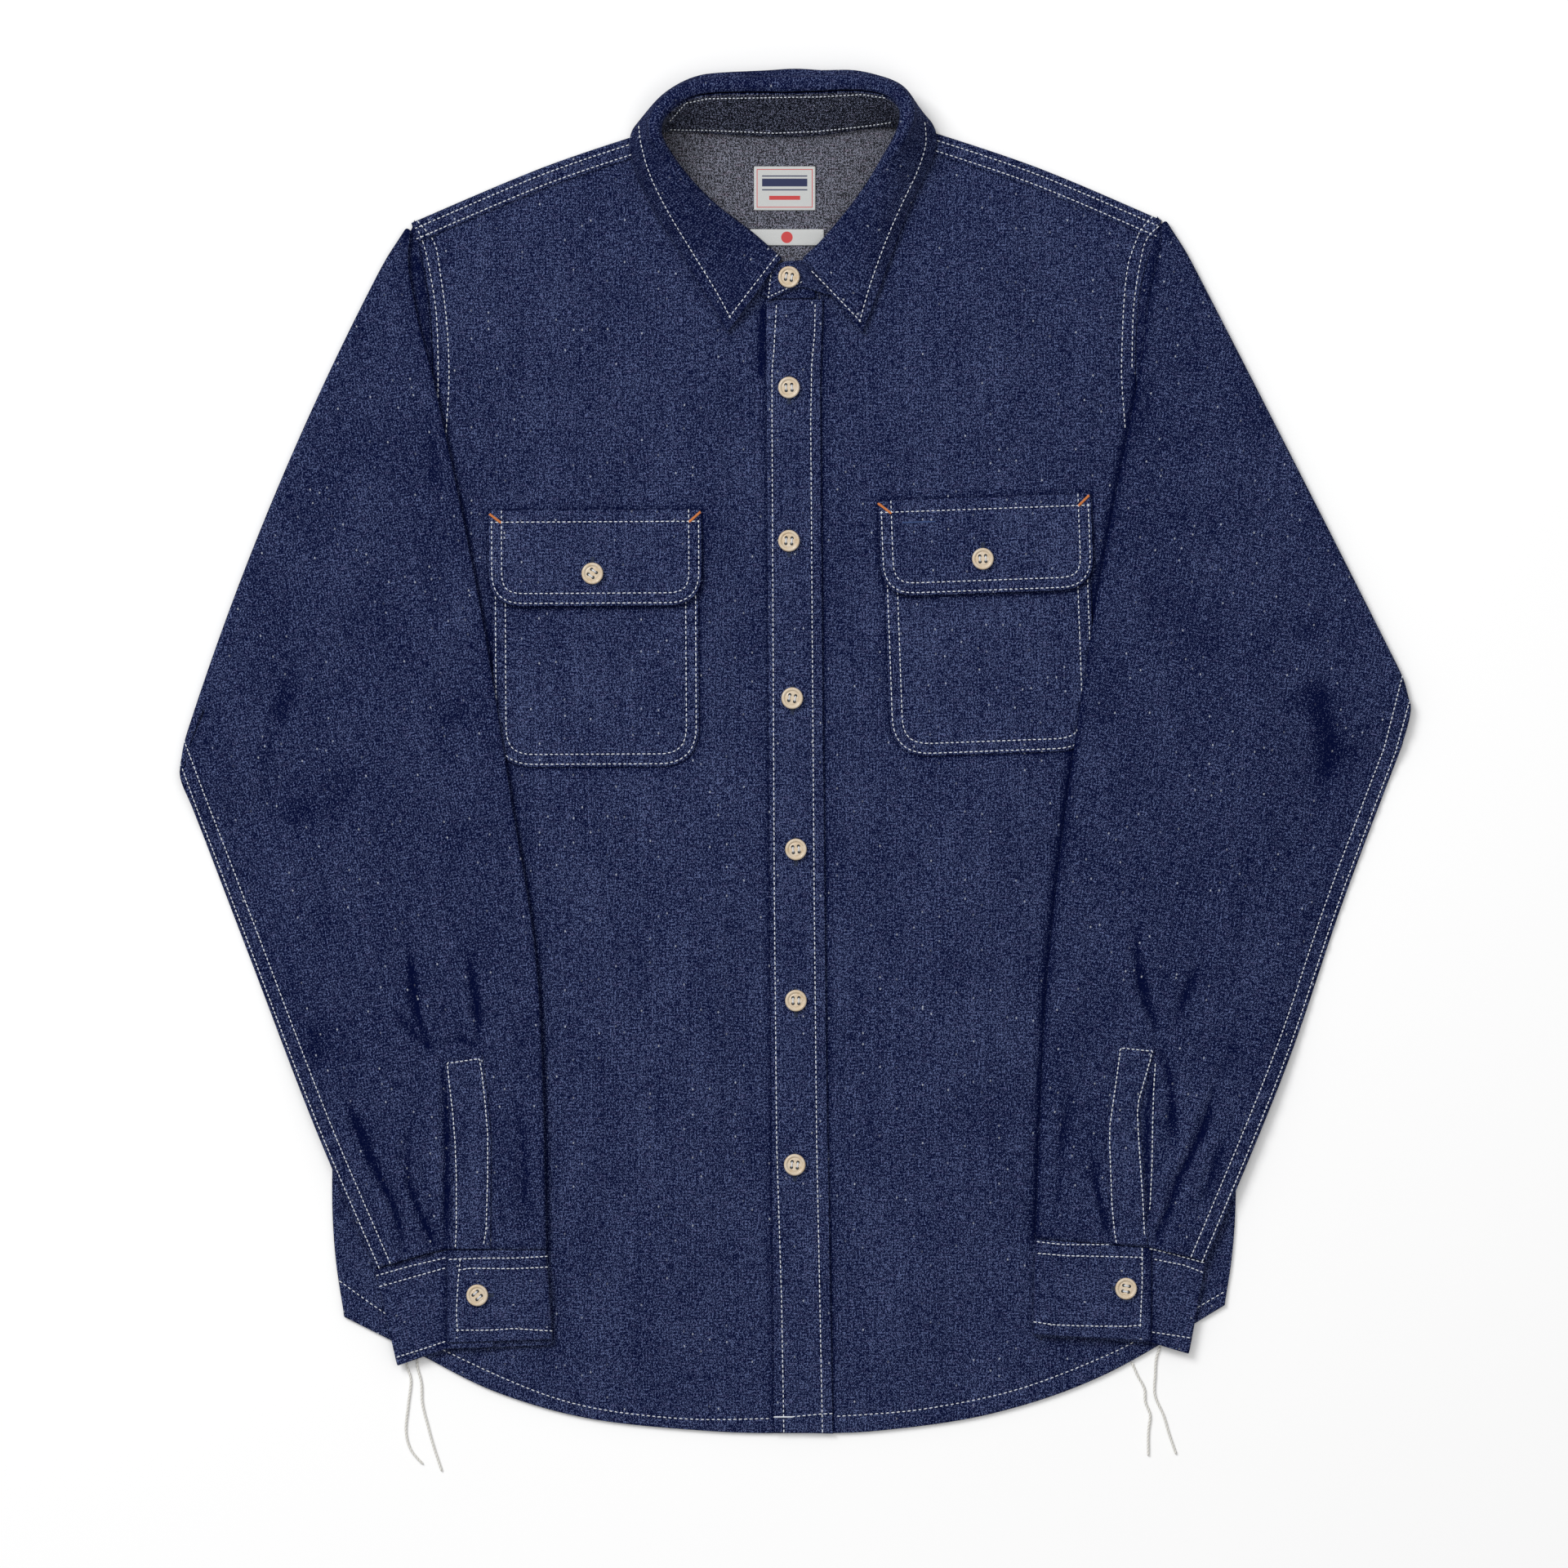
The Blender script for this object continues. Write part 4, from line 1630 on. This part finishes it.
def tube_points(route, radius, sides, lobes=0.0, twist=0.0, phase=0.0):
    """A tube along a route, its section drawn in where its plies meet, with rounded tips."""
    route = np.asarray(route, float)
    tangent = unit(np.gradient(route, axis=0))
    side = unit(np.cross(tangent, (0.0, 0.0, 1.0)))
    up = np.cross(side, tangent)
    run = run_lengths(route)
    angle = np.linspace(0, 2 * np.pi, sides, endpoint=False)
    turn = angle[None, :] + phase - run[:, None] * twist
    size = radius * (1 - lobes + lobes * np.abs(np.cos(turn)))
    from_end = np.minimum(run, run[-1] - run)
    size *= np.sqrt(np.clip(from_end / radius, 0.05, 1))[:, None]
    ring = route[:, None] + side[:, None] * (np.cos(angle) * size)[..., None]
    ring += up[:, None] * (np.sin(angle) * size)[..., None]
    vertices = ring.reshape(-1, 3)
    last = (len(route) - 1) * sides
    faces = [(a, d, c, b) for a, b, c, d in ring_quads(len(route), sides)]
    faces += [tuple(range(sides)), tuple(reversed(range(last, last + sides)))]
    uv = np.dstack([np.tile(angle, (len(route), 1)), np.repeat(run[:, None], sides, 1)]).reshape(-1, 2)
    return vertices, facing_out(vertices, faces), uv


def button_strands(cotton):
    """Two strands of thread across each pair of holes."""
    h, strands = BUTTON_HOLES, []
    for x in (h, -h):
        for lean in (-0.24, 0.24):
            shares = (1, 1, 0.9, -0.4, -0.9, -1, -1)
            ups = (h - 0.1, h - 0.5, h * 0.5, 0, -h * 0.5, -h + 0.5, -h + 0.1)
            heights = (1.3, 1.95, 2.3, 2.42, 2.3, 1.95, 1.3)
            route = [(x + lean * share, y, z) for share, y, z in zip(shares, ups, heights)]
            tube = tube_points(spline_points(route, np.linspace(0, 1, 17)), 0.25, 7)
            strands.append(new_mesh("strand", *tube, [cotton]))
    return strands


def make_label(name, material):
    (x, y), (width, height) = LABELS[name]
    w, h, corner = width / 2, height / 2, 0.6
    corners = [
        (sx * (w - corner) + corner * math.cos(angle), sy * (h - corner) + corner * math.sin(angle))
        for sx, sy, start in ((1, -1, -90), (1, 1, 0), (-1, 1, 90), (-1, -1, 180))
        for angle in np.radians(start + np.array([0, 45, 90]))
    ]
    edge = outline_of(closed_by(corners, 1.6) + (x, y))
    return cloth_sheet(
        f"woven_{name}", edge, lambda p: np.full(len(p), LAYER), CLOTH, 1.5, [material, material],
        grain=lambda p: p - (x, y), thicker=lambda p: 0.12 * undulation(p, 18, 23) - 0.1, seed=5,
    )


# Stitching by Geometry Nodes


def stitch_tree():
    """Rows of stitches: each route is resampled, and a stitch lies along it at every point."""
    if "topstitching" in bpy.data.node_groups:
        return bpy.data.node_groups["topstitching"]
    tree = bpy.data.node_groups.new("topstitching", "GeometryNodeTree")
    lengths = ("Pitch", 3e-3), ("Stitch Length", 2e-3), ("Thread Width", 7e-4), ("Turn", 0.0), ("Unevenness", 0.12)
    sockets = [("Geometry", "Geometry", None), *[(label, "Float", value) for label, value in lengths]]
    for label, kind, value in [*sockets, ("Seed", "Int", None), ("Thread", "Material", None)]:
        socket = tree.interface.new_socket(name=label, in_out="INPUT", socket_type=f"NodeSocket{kind}")
        if value is not None:
            socket.default_value = value
    tree.interface.new_socket(name="Geometry", in_out="OUTPUT", socket_type="NodeSocketGeometry")
    nodes = Nodes(tree)

    def add(kind, inputs=(), output=0, **settings):
        return nodes.add(kind, inputs, **settings).outputs[output]

    def chance(low, high):
        inputs = {"Min": low, "Max": high, "Seed": given["Seed"]}
        return add("FunctionNodeRandomValue", inputs, output=1, data_type="FLOAT")

    given = tree.nodes.new("NodeGroupInput").outputs
    curve = add("GeometryNodeMeshToCurve", {"Mesh": given["Geometry"]})
    row = nodes.add("GeometryNodeResampleCurve", {"Curve": curve}, mode="LENGTH")
    nodes.give(row.inputs["Length"], given["Pitch"])
    tangent = add("GeometryNodeInputTangent")
    up = add("GeometryNodeInputNamedAttribute", {"Name": "up"}, data_type="FLOAT_VECTOR")
    along = add("FunctionNodeAlignRotationToVector", {"Vector": tangent}, axis="Z")
    lying = add("FunctionNodeAlignRotationToVector", {"Rotation": along, "Vector": up}, axis="Y", pivot_axis="Z")
    turned = nodes.math("ADD", given["Turn"], chance(-0.09, 0.09))
    spin = add("ShaderNodeCombineXYZ", {"Y": turned})
    facing = add("FunctionNodeRotateRotation", {"Rotation": lying, "Rotate By": spin}, rotation_space="LOCAL")
    low = nodes.math("SUBTRACT", 1.0, given["Unevenness"])
    high = nodes.math("ADD", 1.0, given["Unevenness"])
    long = nodes.math("MULTIPLY", given["Stitch Length"], chance(low, high))
    size = add("ShaderNodeCombineXYZ", {"X": given["Thread Width"], "Y": given["Thread Width"], "Z": long})
    grain = add("GeometryNodeMeshUVSphere", {"Segments": 6, "Rings": 4, "Radius": 0.5})
    placing = {"Points": row.outputs[0], "Instance": grain, "Rotation": facing, "Scale": size}
    real = add("GeometryNodeRealizeInstances", {"Geometry": add("GeometryNodeInstanceOnPoints", placing)})
    smooth = add("GeometryNodeSetShadeSmooth", {"Geometry": real})
    sewn = add("GeometryNodeSetMaterial", {"Geometry": smooth, "Material": given["Thread"]})
    nodes.give(tree.nodes.new("NodeGroupOutput").inputs[0], sewn)
    return tree


def sew(name, rows, material, pitch, length=None, turn=0.0, width=None, lift=0.10):
    """One piece of stitching. rows are pairs of a surface tree and plane points."""
    sizes = bpy.context.scene.shirt_sizes
    vertices, edges, ups = [], [], []
    for tree, points in rows:
        found = drop_on(tree, straight_by(points, 1.4))
        start = len(vertices)
        for hit, normal in found:
            if normal.z < 0:
                normal = -normal
            vertices.append(hit + normal * lift * MM)
            ups.append(normal)
        edges += [(i, i + 1) for i in range(start, len(vertices) - 1)]
    mesh = bpy.data.meshes.new(name)
    mesh.from_pydata(vertices, edges, [])
    up = mesh.attributes.new("up", "FLOAT_VECTOR", "POINT")
    up.data.foreach_set("vector", np.array([tuple(n) for n in ups], np.float32).ravel())
    routes = linked(name + "_routes", mesh)
    tree = stitch_tree()
    modifier = routes.modifiers.new("stitches", "NODES")
    modifier.node_group = tree
    values = {
        "Pitch": pitch * MM, "Stitch Length": length * MM if length else sizes.stitch_length,
        "Thread Width": width * MM if width else sizes.stitch_width, "Turn": turn, "Seed": sizes.seed,
        "Thread": material,
    }
    for item in tree.interface.items_tree:
        if item.in_out == "INPUT" and item.name in values:
            modifier[item.identifier] = values[item.name]
    routes.update_tag()
    bpy.context.view_layer.update()
    graph = bpy.context.evaluated_depsgraph_get()
    made = bpy.data.meshes.new_from_object(routes.evaluated_get(graph), depsgraph=graph)
    bpy.data.objects.remove(routes)
    made.name = name
    if not made.materials:
        made.materials.append(material)
    if not len(made.polygons):
        raise RuntimeError(f"{name} has no stitches")
    return settle(linked(name, made))


def button_place(node):
    """The middle of a button of the frame, in millimetres."""
    low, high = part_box(node)
    return (low[0] + high[0]) / 2 / MM, (low[1] + high[1]) / 2 / MM


def lay_denim(obj, node, flat, rests_on, held="laid", **more):
    """Settles a finished piece of denim, with its flat size for the table of cloth."""
    settle(obj, [node])


# Operators


class SHIRT_OT_camera(bpy.types.Operator):
    """Place the camera straight above the shirt"""

    bl_idname = "shirt.camera"
    bl_label = "Camera"

    def execute(self, context):
        data = bpy.data.cameras.new("above")
        data.sensor_width = SENSOR
        data.lens = SENSOR * CAMERA_HEIGHT / FRAME_WIDTH
        data.clip_end = 40
        camera = linked("above", data)
        camera.location = (FRAME_CENTRE[0] * MM, FRAME_CENTRE[1] * MM, CAMERA_HEIGHT * MM)
        context.scene.camera = camera
        return {"FINISHED"}


class SHIRT_OT_thread_ends(bpy.types.Operator):
    """Make the loose thread ends below the hem"""

    bl_idname = "shirt.thread_ends"
    bl_label = "Thread Ends"

    def execute(self, context):
        ecru = context.scene.shirt_colours.stitch
        material = loose_thread_material("thread_loose", [c * s for c, s in zip(ecru, LOOSE_WARMTH)])
        for i, points in enumerate(THREADS):
            route = spaced([(x, y, THREAD_DIAMETER / 2 + 0.02) for x, y in points], 150)
            vertices, faces, uv = tube_points(route, THREAD_DIAMETER / 2, 12, lobes=0.22, twist=1.45, phase=i)
            obj = new_mesh(f"thread_end_{i + 1}", vertices, faces, uv, [material])
            settle(obj, [f"thread_{i + 1}"])
        return {"FINISHED"}


class SHIRT_OT_body(bpy.types.Operator):
    """Make the back, both fronts and the button band"""

    bl_idname = "shirt.body"
    bl_label = "Body"

    def execute(self, context):
        denims = cloth_materials()
        back = make_back(denims)
        settle(back, ["back_panel"])
        right, left = make_fronts(context.scene.shirt_sizes.mesh_step / MM, denims)
        lay_denim(right, "front_right", (0.286, 0.766), ["back"], area=0.186)
        lay_denim(left, "front_left", (0.245, 0.766), ["back"], area=0.159)
        lay_denim(make_placket(denims), "front_placket", (0.034, 0.667), [right.name])
        return {"FINISHED"}


class SHIRT_OT_pockets(bpy.types.Operator):
    """Make the chest pockets and their flaps"""

    bl_idname = "shirt.pockets"
    bl_label = "Pockets and Flaps"

    def execute(self, context):
        for side in CHEST_SETS:
            pocket, flap = make_pocket(side, cloth_materials())
            lay_denim(pocket, f"pocket_{side}", (0.121, 0.107), [f"front_{side}_panel"], area=0.0126)
            lay_denim(flap, f"flap_{side}", (0.125, 0.0565), [pocket.name], area=0.0069)
        return {"FINISHED"}


class SHIRT_OT_collar(bpy.types.Operator):
    """Make the collar's stand and its leaves"""

    bl_idname = "shirt.collar"
    bl_label = "Collar"

    def execute(self, context):
        stand, leaf = make_stand(cloth_materials()), make_leaf(cloth_materials())
        on_neck = ["back", "front_right_panel"]
        lay_denim(stand, "collar_stand", (0.030, 0.410), on_neck, held="folded", area=0.0088)
        lay_denim(leaf, "collar_leaf", (0.062, 0.420), [stand.name, "back"], held="folded", area=0.0186)
        return {"FINISHED"}


class SHIRT_OT_sleeves(bpy.types.Operator):
    """Make the sleeves, their cuffs and their plackets"""

    bl_idname = "shirt.sleeves"
    bl_label = "Sleeves and Cuffs"

    def execute(self, context):
        denims = cloth_materials()
        step = context.scene.shirt_sizes.mesh_step / MM
        for side in SLEEVES:
            front = [f"front_{side}_panel"]
            sleeve, end = make_sleeve(side, step, denims)
            lay_denim(sleeve, f"sleeve_{side}", (0.46, 0.60), front, held="folded", area=0.20)
            lay_denim(make_cuff(side, end, denims), f"cuff_{side}", (0.245, 0.052), front, held="folded")
            gauntlet = make_gauntlet(side, sleeve, denims)
            lay_denim(gauntlet, f"sleeve_placket_{side}", (0.024, 0.112), [sleeve.name])
        return {"FINISHED"}


class SHIRT_OT_buttons(bpy.types.Operator):
    """Make the buttons, sewn on with thread"""

    bl_idname = "shirt.buttons"
    bl_label = "Buttons"

    def execute(self, context):
        colours = context.scene.shirt_colours
        cream = button_material("button_cream", tuple(colours.button))
        cotton = thread_material("thread_button", [c * 0.95 for c in colours.stitch])
        shadow = button_material("button_hole", [c * 0.09 for c in colours.button])
        turned = drilled_button([cream, cotton, shadow])
        nodes = sorted(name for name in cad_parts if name.startswith("button_"))
        for k, node in enumerate(nodes):
            turned_far = "cuff" in node or "flap" in node
            angle = 0.5 + 0.9 * k if turned_far else 0.06 * ((k * 5) % 7 - 3)
            low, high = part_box(node)
            obj = linked(node.replace("button_", "turned_button_"), turned.copy())
            obj = join(obj.name, [obj, *button_strands(cotton)])
            centre = Vector(((low[0] + high[0]) / 2, (low[1] + high[1]) / 2, low[2]))
            obj.data.transform(Matrix.Translation(centre) @ Matrix.Rotation(angle, 4, "Z"))
            settle(obj, [node])
        bpy.data.meshes.remove(turned)
        return {"FINISHED"}


class SHIRT_OT_labels(bpy.types.Operator):
    """Make the woven labels inside the neck"""

    bl_idname = "shirt.labels"
    bl_label = "Labels"

    def execute(self, context):
        colour = tuple(context.scene.shirt_colours.label)
        for name, motif in (("label_upper", "bands"), ("label_lower", "disc")):
            label = make_label(name, woven_label(f"woven_{motif}", colour, motif))
            settle(label, [name])
        return {"FINISHED"}


class SHIRT_OT_stitching(bpy.types.Operator):
    """Sew the rows of stitches, the bartacks and the buttonholes"""

    bl_idname = "shirt.stitching"
    bl_label = "Stitching"

    def execute(self, context):
        colours = context.scene.shirt_colours
        ecru = thread_material("thread_sewn", colours.stitch)
        orange = thread_material("thread_tack", colours.tack)
        blue = thread_material("thread_slot", colours.slot)
        dark = thread_material("thread_buttonhole", colours.buttonhole)
        trees = {}

        def on(name, rows):
            if name not in trees:
                trees[name] = surface_of(bpy.data.objects[name])
            return [(trees[name], row) for row in rows]

        hem = spaced_by(HEM_ROW, 6)
        right_hem, left_hem = hem[hem[:, 0] < -15], hem[hem[:, 0] > 24]
        fronts = on("front_right_panel", [spaced_by(r, 6) for r in RIGHT_ARMHOLE_ROWS] + [right_hem])
        fronts += on("front_left_panel", [spaced_by(r, 6) for r in LEFT_ARMHOLE_ROWS] + [left_hem])
        sew("sewn_body", fronts, ecru, 3.2)
        over = [spaced_by(row[:3], 4) for row in (*RIGHT_ARMHOLE_ROWS, *LEFT_ARMHOLE_ROWS)]
        sew("sewn_shoulders", on("back", [*shoulder_rows(), *over]), ecru, 2.9)
        sew("sewn_placket", on("placket_band", [*PLACKET_ROWS, BAND_HEM_ROW]), ecru, 2.95)
        sew("hem_bar", on("placket_band", [HEM_BAR]), ecru, 0.8, length=2.2, width=0.95)
        patches, tacks = [], []
        for side, place in CHEST_SETS.items():
            patches += on(f"chest_pocket_{side}", pocket_rows(side)) + on(f"pocket_flap_{side}", flap_rows(side))
            tacks += on(f"pocket_flap_{side}", [placed(bar, place) for bar in BARTACKS[side]])
        sew("sewn_pockets", patches, ecru, 3.05)
        sew("sewn_collar", on("collar_leaves", [spaced_by(r, 4) for r in LEAF_ROWS]), ecru, 3.0)
        sew("sewn_stand", on("neck_stand", [*STAND_ROWS, *TAB_ROWS]), ecru, 2.3, length=1.5)
        sleeves = []
        for side in SLEEVES:
            sleeves += on(f"folded_sleeve_{side}", sleeve_rows(side))
            sleeves += on(f"cuff_band_{side}", CUFF_ROWS[side]) + on(f"gauntlet_{side}", gauntlet_rows(side))
        sew("sewn_sleeves", sleeves, ecru, 2.8)
        sew("bartacks", tacks, orange, 0.4, length=1.7, turn=math.pi / 2 - 0.25, width=0.55, lift=0.25)
        slot = on("pocket_flap_left", [placed(PENCIL_SLOT, CHEST_SETS["left"])])
        sew("pencil_slot", slot, blue, 0.5, length=1.3, turn=math.pi / 2, width=0.5, lift=0.15)
        holes = on("placket_band", [[(x, y - 9.4), (x, y + 7)] for x, y in FRONT_BUTTONS])
        for side, reach in (("right", (-5, 9.4)), ("left", (-8.4, 5))):
            x, y = button_place(f"button_flap_{side}")
            holes += on(f"pocket_flap_{side}", [[(x, y - 5), (x, y + 9.4)]])
            x, y = button_place(f"button_cuff_{side}")
            holes += on(f"cuff_band_{side}", [[(x + reach[0], y), (x + reach[1], y)]])
        sew("buttonholes", holes, dark, 0.55, length=2.6, turn=math.pi / 2, width=0.5, lift=0.05)
        ends = []
        for name, ((x, y), size) in LABELS.items():
            w, h = size[0] / 2 - 0.9, size[1] / 2 - 0.8
            ends += on(f"woven_{name}", [[(x + s * w, y - h), (x + s * w, y + h)] for s in (1, -1)])
        sew("sewn_labels", ends, ecru, 1.9, length=1.3, width=0.45, lift=0.0)
        return {"FINISHED"}


class SHIRT_OT_stage(bpy.types.Operator):
    """Lay the pale floor and set the studio lights"""

    bl_idname = "shirt.stage"
    bl_label = "Stage"

    def execute(self, context):
        stage = context.scene.shirt_stage
        s = Shader("floor_white")
        s.paint(s.mix(s.cloud(3.0), rgb(stage.floor), rgb(stage.floor, 0.985)))
        mesh = bpy.data.meshes.new("floor")
        corners = [(x * FLOOR_HALF, y * FLOOR_HALF, FLOOR_LEVEL) for x, y in ((-1, -1), (1, -1), (1, 1), (-1, 1))]
        mesh.from_pydata(corners, [], [(0, 1, 2, 3)])
        mesh.materials.append(s.finish(Roughness=0.9, Specular_IOR_Level=0.1))
        linked("floor", mesh)
        for name, energy in (("key", stage.key_power), ("top", stage.top_power)):
            data = bpy.data.lights.new(name, "AREA")
            place, data.size = LIGHTS[name]
            data.energy = energy
            light = linked(name, data)
            light.location = place
            light.rotation_euler = (-Vector(place)).to_track_quat("-Z", "Y").to_euler()
        world = bpy.data.worlds.new("room")
        world.use_nodes = True
        sky = world.node_tree.nodes["Background"]
        sky.inputs[0].default_value, sky.inputs[1].default_value = (1, 1, 1, 1), stage.sky
        context.scene.world = world
        context.scene.view_settings.view_transform = "Standard"
        return {"FINISHED"}


STEPS = (
    SHIRT_OT_camera, SHIRT_OT_thread_ends, SHIRT_OT_body, SHIRT_OT_pockets, SHIRT_OT_collar, SHIRT_OT_sleeves,
    SHIRT_OT_buttons, SHIRT_OT_labels, SHIRT_OT_stitching, SHIRT_OT_stage,
)


class SHIRT_PT_panel(bpy.types.Panel):
    """The shirt's pieces, sizes and colours."""

    bl_label = "Denim Work Shirt"
    bl_idname = "SHIRT_PT_panel"
    bl_space_type = "VIEW_3D"
    bl_region_type = "UI"
    bl_category = "Shirt"

    def draw(self, context):
        for step in STEPS:
            self.layout.operator(step.bl_idname)
        for group in (context.scene.shirt_sizes, context.scene.shirt_colours, context.scene.shirt_stage):
            box = self.layout.box()
            for key in group.__annotations__:
                box.prop(group, key)


CLASSES = (ShirtSizes, ShirtColours, ShirtStage, *STEPS, SHIRT_PT_panel)


def register():
    for cls in CLASSES:
        bpy.utils.register_class(cls)
    bpy.types.Scene.shirt_sizes = PointerProperty(type=ShirtSizes)
    bpy.types.Scene.shirt_colours = PointerProperty(type=ShirtColours)
    bpy.types.Scene.shirt_stage = PointerProperty(type=ShirtStage)


def unregister():
    del bpy.types.Scene.shirt_sizes
    del bpy.types.Scene.shirt_colours
    del bpy.types.Scene.shirt_stage
    for cls in reversed(CLASSES):
        bpy.utils.unregister_class(cls)


def main():
    register()
    for step in STEPS:
        group, name = step.bl_idname.split(".")
        getattr(getattr(bpy.ops, group), name)()


if __name__ == "__main__":
    main()
